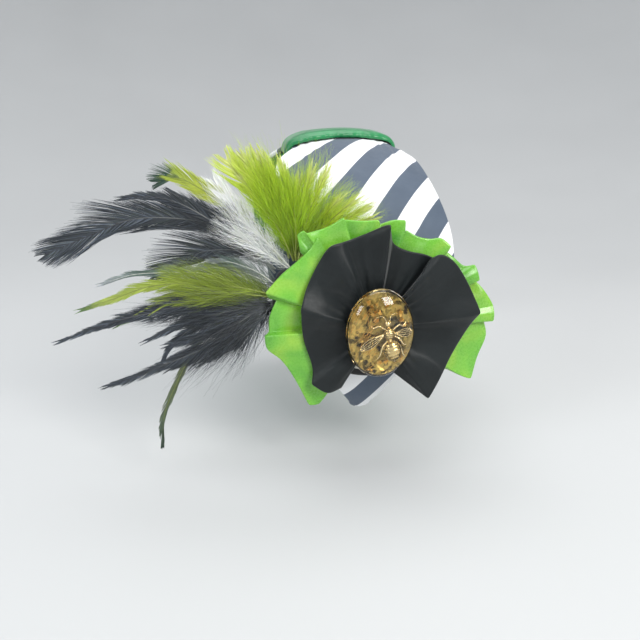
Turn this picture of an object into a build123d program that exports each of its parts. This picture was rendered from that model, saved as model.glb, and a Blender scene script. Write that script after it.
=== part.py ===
"""Striped half hat (fascinator) with a satin rosette, a bee cabochon and a spray of feathers.

Frame: millimetres, +Z up, the origin where the lining rests on the top of the head.
The hat is a saddle of two lobes, one hanging towards -Y (the trimmed side) and one
towards +Y, joined by a narrow waist over the crown. X runs along the length of the head.
"""
from build123d import *
import math
import os

os.makedirs("parts", exist_ok=True)

# ---- driving dimensions -------------------------------------------------------------------
HEAD_HALF_LENGTH = 98.0      # the head form is a spheroid about X
HEAD_RADIUS = 78.0
HEAD_CENTRE = (0.0, 0.0, -HEAD_RADIUS)

LINING = (0.0, 0.7)          # layers of the hat, as inner and outer heights over the head
FOUNDATION = (1.0, 2.4)
COVER = (2.7, 3.5)
RIM_ROLL = 2.0               # how far the cover's rolled edge stands out past the foundation
COVER_CLOTH = 0.7
LIP_INNER = 0.2              # the rolled edge ends this far above the head

OUTLINE_SIDE = [             # half width and height of the hat's outline in side view
    (28.0, 0.0),
    (31.0, -4.0),
    (36.0, -13.0),
    (43.0, -44.0),
    (36.5, -74.0),
    (13.5, -106.5),
    (3.5, -121.0),
]
TIP_BOTTOM = -124.0
PRISM_TOP = 20.0
REACH = 95.0                 # more than the hat's half size along Y

BAND_WIDTH = 24.0            # padded satin band over the waist
BAND_LAYER = (3.8, 7.4)
BAND_INNER_X = 26.3
BAND_OUTER_X = 28.5
BAND_TUCK = (-1.1, -0.3)     # its ends are tucked under the rim
BAND_TUCK_X = 18.0
PINCH_X = 24.0               # the waist is pinched in to this half width under the band
PINCH_Y = 14.3
PINCH_SHOULDER = 20.0        # and widens again at 45 degrees

ROSETTE_X, ROSETTE_Z = 1.0, -75.0
BACKING_FRONT = 81.8         # distances in front of the XZ plane, towards -Y
BACKING = 2.0
CORE = 2.0
BACKING_RADIUS = 27.0
DISC_GAP = 0.2

FEATHER_FIRST = 77.8         # feathers lie in nested curved sheets, one sheet each
FEATHER_STEP = 0.5
FEATHER_THICK = 0.3
SHEET_RADIUS = 246.0
SHEET_AXIS_X = -35.0
QUILL = 1.4

PATCH_SIZE = (15.0, 24.0, 0.6)
PATCH_CENTRE = (-37.0, -60.0)
SOFT_GAP = 0.3
RUFFLE_THICK = 5.6

CABOCHON_W, CABOCHON_H = 30.0, 40.0
CABOCHON_DOME = 8.0
CABOCHON_PLATE = 0.8
POCKET_W, POCKET_H, POCKET_D = 24.0, 34.0, 2.9

CLIP_HALF_LENGTH = 22.0      # single prong spring clip under the crown
CLIP_HALF_WIDTH = 4.0
CLIP_TOP = -3.9
CLIP_SHEET = 0.8
PIVOT_Y, PIVOT_Z = 10.5, -8.4
PIN_R = 0.7
PIN_BORE_R = 0.75
LEVER_HALF_WIDTH = 2.9

COMB_ANGLE = 12.0            # height of the comb's spine round the head, in degrees over +Y
COMB_SWEEP = 24.0
COMB_DEPTH = 2.3
COMB_PITCH = 4.0
COMB_TEETH = 9
TOOTH_R = 0.6
SPINE_R = 1.3


def write(piece, name):
    """Label a finished piece and write its STEP file."""
    piece.part.label = name
    export_step(piece.part, f"parts/{name}.step")


def rosette_plane(distance):
    """Plane facing -Y, at a distance in front of the XZ plane, X right and Z up."""
    return Plane(origin=(0, -distance, 0), x_dir=(1, 0, 0), z_dir=(0, -1, 0))


# ---- the hat: layered shells cut to one outline -------------------------------------------
def head_form(height):
    """The head, grown outwards by height."""
    long_r, round_r = HEAD_HALF_LENGTH + height, HEAD_RADIUS + height
    with BuildPart() as form:
        with BuildSketch(Plane(origin=HEAD_CENTRE, x_dir=(1, 0, 0), z_dir=(0, -1, 0))):
            with BuildLine():
                EllipticalCenterArc((0, 0), long_r, round_r, start_angle=0, arc_size=180)
                Line((-long_r, 0), (long_r, 0))
            make_face()
        revolve(axis=Axis(HEAD_CENTRE, (1, 0, 0)))
    return form.part


def grown_side(grow):
    """Points of the outline's right side, moved outwards by grow."""
    side = [Vector(*point) for point in OUTLINE_SIDE]
    moved = []
    for number, point in enumerate(side):
        before = side[max(number - 1, 0)]
        after = side[min(number + 1, len(side) - 1)]
        along = (after - before).normalized()
        moved.append(point + Vector(-along.Y, along.X) * grow)
    return moved


def outline_prism(grow):
    """The side outline of the hat, grown outwards and run right through along Y."""
    right = grown_side(grow)
    left = [Vector(-point.X, point.Y) for point in reversed(right)]
    top_right = Vector(right[0].X, PRISM_TOP)
    top_left = Vector(-right[0].X, PRISM_TOP)
    with BuildPart() as prism:
        with BuildSketch(Plane.XZ):
            with BuildLine():
                Polyline(left[-1], top_left, top_right, right[0])
                Spline(right)
                ThreePointArc(right[-1], (0, TIP_BOTTOM - grow), left[0])
                Spline(left)
            make_face()
        extrude(amount=REACH, both=True)
        inner_x, inner_y = PINCH_X + grow, PINCH_Y - grow
        outer_x, outer_y = inner_x + PINCH_SHOULDER, inner_y + PINCH_SHOULDER
        with BuildSketch(Plane.XY.offset(-REACH)):
            with BuildLine():
                Polyline([(inner_x, -inner_y), (inner_x, inner_y), (outer_x, outer_y),
                          (outer_x, -outer_y)], close=True)
            make_face()
            mirror(about=Plane.YZ)
        extrude(amount=2 * REACH, mode=Mode.SUBTRACT)
    return prism.part


def shell(layer, grow):
    """One layer of the hat between two heights over the head."""
    with BuildPart() as piece:
        add(head_form(layer[1]))
        add(head_form(layer[0]), mode=Mode.SUBTRACT)
        add(outline_prism(grow), mode=Mode.INTERSECT)
    return piece


satin_lining = shell(LINING, 0.0)
write(satin_lining, "satin_lining")

foundation = shell(FOUNDATION, 0.0)
write(foundation, "foundation")

with BuildPart() as rim_wire:
    add(shell((FOUNDATION[0] + 0.1, FOUNDATION[1] - 0.1), RIM_ROLL - COVER_CLOTH - 0.1).part)
    add(outline_prism(0.1), mode=Mode.SUBTRACT)
write(rim_wire, "rim_wire")

with BuildPart() as striped_cover:
    add(shell((LIP_INNER, COVER[1]), RIM_ROLL).part)
    add(shell((LIP_INNER - 1.0, COVER[0]), RIM_ROLL - COVER_CLOTH).part, mode=Mode.SUBTRACT)
write(striped_cover, "striped_cover")


def slab(half_x, half_y, low, high):
    """A box centred on X and Y between two heights."""
    with BuildPart() as block:
        with BuildSketch(Plane.XY.offset(low)):
            Rectangle(2 * half_x, 2 * half_y)
        extrude(amount=high - low)
    return block.part


with BuildPart() as band_hollow:
    add(head_form(BAND_LAYER[0]))
    add(slab(BAND_INNER_X, BAND_WIDTH, -20, 20), mode=Mode.INTERSECT)
    add(head_form(BAND_TUCK[1]), mode=Mode.SUBTRACT)

with BuildPart() as crown_band:
    add(head_form(BAND_LAYER[1]))
    add(slab(BAND_OUTER_X, BAND_WIDTH / 2, -20, 20), mode=Mode.INTERSECT)
    add(head_form(BAND_TUCK[0]), mode=Mode.SUBTRACT)
    add(band_hollow.part, mode=Mode.SUBTRACT)
    add(slab(BAND_TUCK_X, BAND_WIDTH, -20, 2.0), mode=Mode.SUBTRACT)
write(crown_band, "crown_band")


# ---- rosette: felt disc, buckram core and two ruffles -------------------------------------
def disc(distance, thickness, radius):
    """A round disc of the rosette, from distance forwards."""
    with BuildPart() as piece:
        with BuildSketch(rosette_plane(distance)):
            with Locations((ROSETTE_X, ROSETTE_Z)):
                Circle(radius)
        extrude(amount=thickness)
    return piece


rosette_backing = disc(BACKING_FRONT, BACKING, BACKING_RADIUS)
write(rosette_backing, "rosette_backing")

core_front = BACKING_FRONT + BACKING + DISC_GAP
rosette_core = disc(core_front, CORE, BACKING_RADIUS - 4)
write(rosette_core, "rosette_core")

# Corners of the folded ruffles, as X and Z in the hat's frame.
LIME_OUTLINE = [
    (-22, -111), (-29, -110), (-38, -92), (-48, -77), (-45, -66), (-47, -57), (-33, -34),
    (-25, -36), (-23, -27), (-13, -27), (0, -29), (12, -28), (13, -34), (32, -40),
    (33, -43), (44, -48), (46, -56), (55, -70), (55, -75), (46, -101), (26, -99),
    (10, -90), (-8, -90),
]
BLACK_OUTLINE = [
    (-15, -102), (-27, -99), (-31, -78), (-32, -64), (-25, -46), (-20, -38), (-10, -36),
    (4, -29), (8, -38), (20, -43), (27, -42), (34, -46), (40, -55), (46, -68), (25, -109),
    (9, -95), (0, -90), (-6, -92),
]


def ruffle(outline, distance):
    """A ruffle as one thick petal plate with its true outline."""
    with BuildPart() as piece:
        with BuildSketch(rosette_plane(distance)):
            with BuildLine():
                Polyline(outline, close=True)
            make_face()
        extrude(amount=RUFFLE_THICK)
    return piece


FEATHER_COUNT = 16
feather_front = FEATHER_FIRST + (FEATHER_COUNT - 1) * FEATHER_STEP + FEATHER_THICK
patch_back = feather_front + DISC_GAP
lime_back = patch_back + PATCH_SIZE[2] + SOFT_GAP
black_back = lime_back + RUFFLE_THICK + SOFT_GAP
plate_back = black_back + RUFFLE_THICK + SOFT_GAP

lime_ruffle = ruffle(LIME_OUTLINE, lime_back)
write(lime_ruffle, "lime_ruffle")

black_ruffle = ruffle(BLACK_OUTLINE, black_back)
write(black_ruffle, "black_ruffle")


# ---- cabochon: back plate, leaf foil, bee, flakes and the resin dome -----------------------
MEDAL = (ROSETTE_X, ROSETTE_Z)
dome_back = plate_back + CABOCHON_PLATE + 0.1


def oval(distance, thickness, width, height):
    """A flat oval on the medallion's axis."""
    with BuildPart() as piece:
        with BuildSketch(rosette_plane(distance)):
            with Locations(MEDAL):
                Ellipse(width / 2, height / 2)
        extrude(amount=thickness)
    return piece


cabochon_plate = oval(plate_back, CABOCHON_PLATE, CABOCHON_W - 1, CABOCHON_H - 1)
write(cabochon_plate, "cabochon_plate")


def medal_ellipsoid(distance, x, z, radii):
    """An ellipsoid centred in front of the XZ plane, with radii along X, Y and Z."""
    with BuildPart() as piece:
        with Locations((MEDAL[0] + x, -distance, MEDAL[1] + z)):
            Sphere(radius=1.0)
        scale(by=radii, about=(MEDAL[0] + x, -distance, MEDAL[1] + z))
    return piece.part


with BuildPart() as resin_cabochon:
    add(medal_ellipsoid(dome_back, 0, 0, (CABOCHON_W / 2, CABOCHON_DOME, CABOCHON_H / 2)))
    with BuildSketch(rosette_plane(dome_back)):
        Rectangle(400, 400)
    extrude(amount=-50, mode=Mode.SUBTRACT)
    add(oval(dome_back - 0.1, POCKET_D + 0.1, POCKET_W, POCKET_H).part, mode=Mode.SUBTRACT)
write(resin_cabochon, "resin_cabochon")

foil_back = dome_back + 0.1
foil_leaf = oval(foil_back, 0.2, POCKET_W - 1, POCKET_H - 1)
write(foil_leaf, "foil_leaf")

BEE_MID = dome_back + 1.1                # the bee lies on the foil, head up
BEE_BODY = [                             # x, z, then radii along X, Y and Z
    (1.0, 5.2, (1.7, 0.7, 1.5)),
    (1.6, 1.0, (2.4, 0.8, 3.0)),
    (2.6, -5.6, (3.6, 0.8, 4.8)),
]
BEE_WINGS = [((0.6, 1.4), (-7.6, -3.6)), ((2.6, 1.6), (10.0, 2.4))]
WING_WIDTH = 3.2


def wing(root, end):
    """A flat drop-shaped wing from the thorax outwards."""
    along = Vector(end[0] - root[0], end[1] - root[1])
    side = Vector(-along.Y, along.X).normalized() * (WING_WIDTH / 2)
    start = Vector(MEDAL[0] + root[0], MEDAL[1] + root[1])
    with BuildPart() as piece:
        with BuildSketch(rosette_plane(BEE_MID - 0.25)):
            with BuildLine():
                broad = start + along * 0.8
                Line(start, broad + side)
                ThreePointArc(broad + side, start + along, broad - side)
                Line(broad - side, start)
            make_face()
        extrude(amount=0.5)
    return piece.part


with BuildPart() as bee_charm:
    for x, z, radii in BEE_BODY:
        add(medal_ellipsoid(BEE_MID, x, z, radii))
    for root, end in BEE_WINGS:
        add(wing(root, end))
write(bee_charm, "bee_charm")

FLAKES = [(-8, 7), (-5, 11), (0, 12.5), (5, 11), (8, 7), (-9, 0), (-7, -9), (-3, -12), (4, -13)]
FLAKE_BACK = dome_back + 2.2
FLAKE_R = 1.5
FLAKE_THICK = 0.15
with BuildPart() as foil_flakes:
    with BuildSketch(rosette_plane(FLAKE_BACK)):
        with Locations([(MEDAL[0] + x, MEDAL[1] + z) for x, z in FLAKES]):
            RegularPolygon(FLAKE_R, 5)
    extrude(amount=FLAKE_THICK)
write(foil_flakes, "foil_flakes")


# ---- feathers: root, knee and tip in side view, and the width of the vane ------------------
FEATHERS = {
    "slate_plume_long": ((-30, -60), (-72, -4), (-146, -45), 19),
    "slate_plume_upper": ((-30, -58), (-62, -20), (-106, -18), 15),
    "slate_spike_upper": ((-30, -57), (-60, -24), (-86, -14), 9),
    "lime_dark_tipped": ((-30, -56), (-58, -20), (-90, -12), 13),
    "lime_blunt": ((-30, -55), (-48, -22), (-60, -3), 15),
    "lime_hackle_left": ((-29, -54), (-42, -18), (-53, 1), 13),
    "lime_hackle_mid": ((-29, -53), (-35, -18), (-43, 1), 12),
    "lime_hackle_upright": ((-28, -52), (-26, -20), (-21, -4), 12),
    "lime_hackle_right": ((-28, -51), (-21, -24), (-8, -18), 12),
    "white_quill": ((-30, -54), (-50, -34), (-66, -17), 13),
    "silver_green_left": ((-30, -60), (-80, -48), (-118, -57), 11),
    "lime_plume_lower": ((-30, -61), (-78, -46), (-130, -69), 17),
    "slate_plume_lower": ((-30, -64), (-84, -54), (-142, -86), 14),
    "slate_fan_low": ((-30, -66), (-66, -70), (-121, -105), 22),
    "slate_short_low": ((-30, -67), (-66, -70), (-97, -95), 9),
    "olive_hanging": ((-30, -65), (-84, -62), (-98, -138), 9),
}
VANE_PROFILE = [(0.22, 0.55), (0.42, 1.0), (0.66, 0.92), (0.86, 0.5)]


def bend_point(root, knee, tip, t):
    """Point and direction on the bend through a feather's root and tip, pulled to its knee."""
    a, b, c = Vector(*root), Vector(*knee), Vector(*tip)
    point = a * (1 - t) ** 2 + b * (2 * t * (1 - t)) + c * t**2
    slope = (b - a) * (1 - t) + (c - b) * t
    return point, slope.normalized()


def feather_edge(root, knee, tip, width, side):
    """Points of one edge of the vane, from the quill to the tip."""
    points = []
    for t, share in [(0.0, QUILL / width)] + VANE_PROFILE:
        point, slope = bend_point(root, knee, tip, t)
        across = Vector(-slope.Y, slope.X) * (side * width * share / 2)
        points.append(point + across)
    return points + [Vector(*tip)]


def feather(index, root, knee, tip, width):
    """A feather blade, cut from its own curved sheet."""
    inner_r = SHEET_RADIUS + index * FEATHER_STEP
    axis_y = SHEET_RADIUS - FEATHER_FIRST
    upper = feather_edge(root, knee, tip, width, 1)
    lower = feather_edge(root, knee, tip, width, -1)
    with BuildPart() as blade:
        with BuildSketch(Plane.XZ):
            with BuildLine():
                Spline(upper)
                Spline(lower)
                Line(upper[0], lower[0])
            make_face()
        extrude(amount=REACH)
        with BuildSketch(Plane.XY.offset(-180), mode=Mode.PRIVATE) as ring:
            with Locations((SHEET_AXIS_X, axis_y)):
                Circle(inner_r + FEATHER_THICK)
                Circle(inner_r, mode=Mode.SUBTRACT)
        extrude(ring.sketch, amount=250, mode=Mode.INTERSECT)
    return blade


for number, (name, (root, knee, tip, width)) in enumerate(FEATHERS.items()):
    write(feather(number, root, knee, tip, width), f"feather_{name}")

with BuildPart() as feather_patch:
    with BuildSketch(rosette_plane(patch_back)):
        with Locations(PATCH_CENTRE):
            RectangleRounded(PATCH_SIZE[0], PATCH_SIZE[1], 4)
    extrude(amount=PATCH_SIZE[2])
write(feather_patch, "feather_patch")


# ---- spring clip under the crown -----------------------------------------------------------
PAD_BOTTOM = CLIP_TOP + 0.3
with BuildPart() as clip_pad:
    add(head_form(-0.3))
    add(slab(6, 20, PAD_BOTTOM, 5), mode=Mode.INTERSECT)
write(clip_pad, "clip_pad")

EAR_THICK = 0.8
EAR_R = 2.4
with BuildPart() as clip_base:
    with BuildSketch(Plane.XY.offset(CLIP_TOP - CLIP_SHEET)):
        RectangleRounded(2 * CLIP_HALF_WIDTH, 2 * CLIP_HALF_LENGTH, 2.5)
    extrude(amount=CLIP_SHEET)
    for side in (-CLIP_HALF_WIDTH, CLIP_HALF_WIDTH - EAR_THICK):
        with BuildSketch(Plane.YZ.offset(side)):
            with Locations((PIVOT_Y, PIVOT_Z)):
                Circle(EAR_R)
            with Locations((PIVOT_Y, (PIVOT_Z + CLIP_TOP - 0.2) / 2)):
                Rectangle(2 * EAR_R, CLIP_TOP - 0.2 - PIVOT_Z)
            with Locations((PIVOT_Y, PIVOT_Z)):
                Circle(PIN_R, mode=Mode.SUBTRACT)
        extrude(amount=EAR_THICK)
write(clip_base, "clip_base")

LEVER_PATH = [(-21.5, -5.5), (-18, -5.9), (4, -8.6), (8, -10.9), (13, -11.2), (21.5, -13.6)]
KNUCKLE = (1.6, LEVER_HALF_WIDTH)
KNUCKLE_R = 2.2
with BuildPart() as clip_lever:
    with BuildSketch(Plane.YZ):
        with BuildLine():
            lever_line = Polyline(LEVER_PATH)
        trace(lever_line, line_width=CLIP_SHEET)
    extrude(amount=LEVER_HALF_WIDTH, both=True)
    for side in (-KNUCKLE[1], KNUCKLE[0]):
        with BuildSketch(Plane.YZ.offset(side)):
            with Locations((PIVOT_Y, PIVOT_Z)):
                Circle(KNUCKLE_R)
            with Locations((PIVOT_Y, PIVOT_Z - 1.3)):
                Rectangle(2 * KNUCKLE_R, 2.6)
        extrude(amount=KNUCKLE[1] - KNUCKLE[0])
    with BuildSketch(Plane.YZ.offset(-CLIP_HALF_WIDTH)):
        with Locations((PIVOT_Y, PIVOT_Z)):
            Circle(PIN_BORE_R)
    extrude(amount=2 * CLIP_HALF_WIDTH, mode=Mode.SUBTRACT)
write(clip_lever, "clip_lever")

PIN_HEAD_R = 1.2
PIN_HEAD = 0.4
PIN_END = CLIP_HALF_WIDTH + 0.05 + PIN_HEAD
with BuildPart() as clip_pin:
    with BuildSketch(Plane.YZ.offset(-PIN_END)):
        with Locations((PIVOT_Y, PIVOT_Z)):
            Circle(PIN_R - 0.01)
    extrude(amount=2 * PIN_END)
    for side in (-PIN_END, PIN_END - PIN_HEAD):
        with BuildSketch(Plane.YZ.offset(side)):
            with Locations((PIVOT_Y, PIVOT_Z)):
                Circle(PIN_HEAD_R)
        extrude(amount=PIN_HEAD)
write(clip_pin, "clip_pin")

SPRING_BORE_R = 0.95
SPRING_R = 1.6
SPRING_HALF_WIDTH = 1.3
LEG = 0.5
with BuildPart() as clip_spring:
    with BuildSketch(Plane.YZ):
        with Locations((PIVOT_Y, PIVOT_Z)):
            Circle(SPRING_R)
        for slope in (12, -13):
            start_z = PIVOT_Z + math.copysign(SPRING_R - LEG / 2, slope)
            with BuildLine():
                leg = PolarLine((PIVOT_Y, start_z), 9, angle=slope)
            trace(leg, line_width=LEG)
        with Locations((PIVOT_Y, PIVOT_Z)):
            Circle(SPRING_BORE_R, mode=Mode.SUBTRACT)
    extrude(amount=SPRING_HALF_WIDTH, both=True)
write(clip_spring, "clip_spring")


# ---- side comb inside the far lobe -----------------------------------------------------------
def head_round(x, height):
    """Radius of the head form, grown by height, in the section at x."""
    share = x / (HEAD_HALF_LENGTH + height)
    return (HEAD_RADIUS + height) * math.sqrt(1 - share**2)


def comb_place(x, degrees):
    """Point of the comb's wire at x, at an angle round the head form."""
    reach = head_round(x, -COMB_DEPTH)
    turn = math.radians(degrees)
    return Vector(x, reach * math.cos(turn), HEAD_CENTRE[2] + reach * math.sin(turn))


comb_half = COMB_PITCH * (COMB_TEETH - 1) / 2
with BuildPart() as side_comb:
    with BuildLine():
        ends = [comb_place(x, COMB_ANGLE) for x in (-comb_half - 1.5, 0, comb_half + 1.5)]
        spine = ThreePointArc(*ends)
    with BuildSketch(Plane(origin=spine @ 0, z_dir=spine % 0)):
        Circle(SPINE_R)
    sweep(path=spine)
    for number in range(COMB_TEETH):
        x = number * COMB_PITCH - comb_half
        with BuildLine():
            marks = [comb_place(x, COMB_ANGLE + COMB_SWEEP * share) for share in (0, 0.5, 1)]
            tooth = ThreePointArc(*marks)
        with BuildSketch(Plane(origin=tooth @ 0, z_dir=tooth % 0)):
            Circle(TOOTH_R)
        sweep(path=tooth)
write(side_comb, "side_comb")

STITCH_X = [-14, -6, 6, 14]
STITCH_R = 0.3
with BuildPart() as comb_stitches:
    for x in STITCH_X:
        with Locations(Location(comb_place(x, COMB_ANGLE), (0, 90, 0))):
            Torus(SPINE_R + 0.15 + STITCH_R, STITCH_R)
write(comb_stitches, "comb_stitches")
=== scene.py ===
"""Looks of the striped half hat: cloth, satin rosette, bee cabochon and feathers.

Blender works in metres here; MM turns the hat's own millimetres into them. The origin is
where the lining rests on the crown, +Z is up, and the rosette is on the -Y lobe.
"""
import bpy
import math
import random
import numpy as np
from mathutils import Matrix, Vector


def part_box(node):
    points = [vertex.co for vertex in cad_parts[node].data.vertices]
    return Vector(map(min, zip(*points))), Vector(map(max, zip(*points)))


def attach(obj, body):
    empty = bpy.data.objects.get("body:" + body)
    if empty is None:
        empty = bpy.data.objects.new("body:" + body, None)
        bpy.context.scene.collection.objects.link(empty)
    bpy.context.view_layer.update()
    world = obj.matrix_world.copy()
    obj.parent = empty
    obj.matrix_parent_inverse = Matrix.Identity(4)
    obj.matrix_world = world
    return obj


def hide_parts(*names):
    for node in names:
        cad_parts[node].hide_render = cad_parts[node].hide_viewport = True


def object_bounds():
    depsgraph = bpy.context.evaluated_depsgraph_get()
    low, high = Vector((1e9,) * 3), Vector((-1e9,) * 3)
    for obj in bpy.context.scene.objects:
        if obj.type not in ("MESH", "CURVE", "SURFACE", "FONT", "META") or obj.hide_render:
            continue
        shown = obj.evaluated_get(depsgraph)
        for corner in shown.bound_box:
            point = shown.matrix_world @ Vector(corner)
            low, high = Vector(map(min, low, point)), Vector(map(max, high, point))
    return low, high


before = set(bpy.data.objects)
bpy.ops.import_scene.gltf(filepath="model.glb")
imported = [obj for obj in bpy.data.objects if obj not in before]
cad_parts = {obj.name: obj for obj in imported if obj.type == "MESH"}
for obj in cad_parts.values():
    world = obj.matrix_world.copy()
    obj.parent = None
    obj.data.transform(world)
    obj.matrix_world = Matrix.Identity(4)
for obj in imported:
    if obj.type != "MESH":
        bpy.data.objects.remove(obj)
cad_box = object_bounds()

MM = 0.001
BODY = "hat"

# ---- the head form and the hat's outline, as in the CAD ------------------------------------
HEAD_HALF_LENGTH = 98.0
HEAD_RADIUS = 78.0
COVER_TOP = 3.5
ROLL_R = 1.75
ROSETTE_X, ROSETTE_Z = 1.0, -75.0

OUTLINE = [                  # half width and height of the cover's edge, waist to tip
    (29.8, 2.0),
    (33.2, -5.0),
    (37.9, -13.5),
    (45.0, -44.0),
    (38.4, -75.0),
    (15.3, -107.6),
    (5.5, -122.0),
]
TIP_Z = -126.0
PINCH_X = 26.0
PINCH_Y = 12.3
SHOULDER = 26.0


def mm(points):
    """An array of points in millimetres, as metres."""
    return np.asarray(points, float) * MM


def smooth_curve(keys, count):
    """Evenly spaced parameters on a Catmull-Rom curve through the keys."""
    keys = np.asarray(keys, float)
    ends = np.vstack([2 * keys[0] - keys[1], keys, 2 * keys[-1] - keys[-2]])
    t = np.linspace(0, len(keys) - 1, count)
    i = np.minimum(t.astype(int), len(keys) - 2)
    f = (t - i)[:, None]
    p0, p1, p2, p3 = ends[i], ends[i + 1], ends[i + 2], ends[i + 3]
    return 0.5 * (
        2 * p1 + (p2 - p0) * f
        + (2 * p0 - 5 * p1 + 4 * p2 - p3) * f**2
        + (3 * p1 - p0 - 3 * p2 + p3) * f**3
    )


def smoothstep(low, high, value):
    """0 below low, 1 above high, and a soft step between."""
    t = np.clip((np.asarray(value, float) - low) / (high - low), 0, 1)
    return t * t * (3 - 2 * t)


EDGE_CURVE = smooth_curve(OUTLINE, 400)


def half_width(z):
    """Half width of the cover at a height, rounded off at the tip."""
    z = np.asarray(z, float)
    width = np.interp(-z, -EDGE_CURVE[:, 1], EDGE_CURVE[:, 0])
    start_x, start_z = OUTLINE[-1]
    fall = np.clip((start_z - z) / (start_z - TIP_Z), 0, 1)
    return np.where(z < start_z, start_x * np.sqrt(1 - fall**2), width)


def head_point(x, turn, height):
    """Point over the head: turn goes round from the crown, positive towards -Y."""
    x, turn, height = np.broadcast_arrays(x, turn, height)
    share = np.clip(x / (HEAD_HALF_LENGTH + height), -1, 1)
    reach = (HEAD_RADIUS + height) * np.sqrt(1 - share**2)
    return np.stack([x, -reach * np.sin(turn), reach * np.cos(turn) - HEAD_RADIUS], -1)


def head_normal(points):
    """Outward direction of the head form at points near it."""
    scale = np.array([HEAD_HALF_LENGTH, HEAD_RADIUS, HEAD_RADIUS]) ** 2
    normal = (points - np.array([0, 0, -HEAD_RADIUS])) / scale
    return normal / np.linalg.norm(normal, axis=-1, keepdims=True)


def width_at_turn(turn, height):
    """Half width of the cover in the section at a turn, with the pinched waist."""
    x = np.full_like(turn, 30.0)
    for _ in range(30):
        point = head_point(x, turn, height)
        x = 0.5 * x + 0.5 * half_width(point[..., 2])
    y = np.abs(head_point(x, turn, height)[..., 1])
    pinch = PINCH_X + SHOULDER * smoothstep(PINCH_Y - 4, PINCH_Y + SHOULDER, y) ** 1.4
    blend = 4.0
    low = np.minimum(x, pinch)
    return low - blend * 0.25 * np.clip(1 - np.abs(x - pinch) / blend, 0, 1) ** 2


TIP_TURN = math.acos((TIP_Z + HEAD_RADIUS) / (HEAD_RADIUS + ROLL_R))


# ---- mesh helpers ---------------------------------------------------------------------------
def new_object(name, verts, faces, uv=None):
    """A smooth object in the scene from verts in metres; uv has one pair for each vertex."""
    mesh = bpy.data.meshes.new(name)
    mesh.from_pydata([tuple(v) for v in verts], [], [tuple(f) for f in faces])
    if uv is not None:
        layer = mesh.uv_layers.new(name="cloth")
        index = np.zeros(len(mesh.loops), int)
        mesh.loops.foreach_get("vertex_index", index)
        layer.data.foreach_set("uv", np.asarray(uv, float)[index].ravel())
    mesh.validate()
    mesh.update()
    mesh.polygons.foreach_set("use_smooth", [True] * len(mesh.polygons))
    obj = bpy.data.objects.new(name, mesh)
    bpy.context.scene.collection.objects.link(obj)
    return obj


def grid_faces(rows, cols, wrap_cols=False):
    """Quads of a grid whose vertices are stored row by row."""
    faces = []
    for i in range(rows - 1):
        here, below = i * cols, (i + 1) * cols
        for j in range(cols if wrap_cols else cols - 1):
            k = (j + 1) % cols
            faces.append((here + j, here + k, below + k, below + j))
    return faces


def grid_object(name, points, uv=None, wrap_cols=False):
    """A smooth grid from an array of rows and columns of points in millimetres."""
    rows, cols = points.shape[:2]
    faces = grid_faces(rows, cols, wrap_cols)
    flat_uv = None if uv is None else uv.reshape(-1, 2)
    return new_object(name, mm(points.reshape(-1, 3)), faces, flat_uv)


def weld(obj, distance=1e-6):
    """Join vertices that lie in one place, and face a closed mesh outwards."""
    import bmesh
    made = bmesh.new()
    made.from_mesh(obj.data)
    bmesh.ops.remove_doubles(made, verts=made.verts, dist=distance)
    if not any(edge.is_boundary for edge in made.edges):
        bmesh.ops.recalc_face_normals(made, faces=made.faces)
    made.to_mesh(obj.data)
    made.free()
    return obj


def thicken(obj, thickness, offset=-1.0):
    """Give a sheet its thickness, in millimetres."""
    solid = obj.modifiers.new("thickness", "SOLIDIFY")
    solid.thickness = thickness * MM
    solid.offset = offset
    solid.use_even_offset = False
    return obj


def finish_piece(obj, material, slot, *nodes):
    """Give a piece its material, let it ride on the hat and stand for CAD nodes; slot is not used.
    """
    obj.data.materials.clear()
    obj.data.materials.append(material)
    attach(obj, BODY)
    if nodes:
        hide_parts(*nodes)
    return obj


# ---- materials ------------------------------------------------------------------------------
def grey(level):
    """A colour of equal parts."""
    return (level,) * 3


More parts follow.
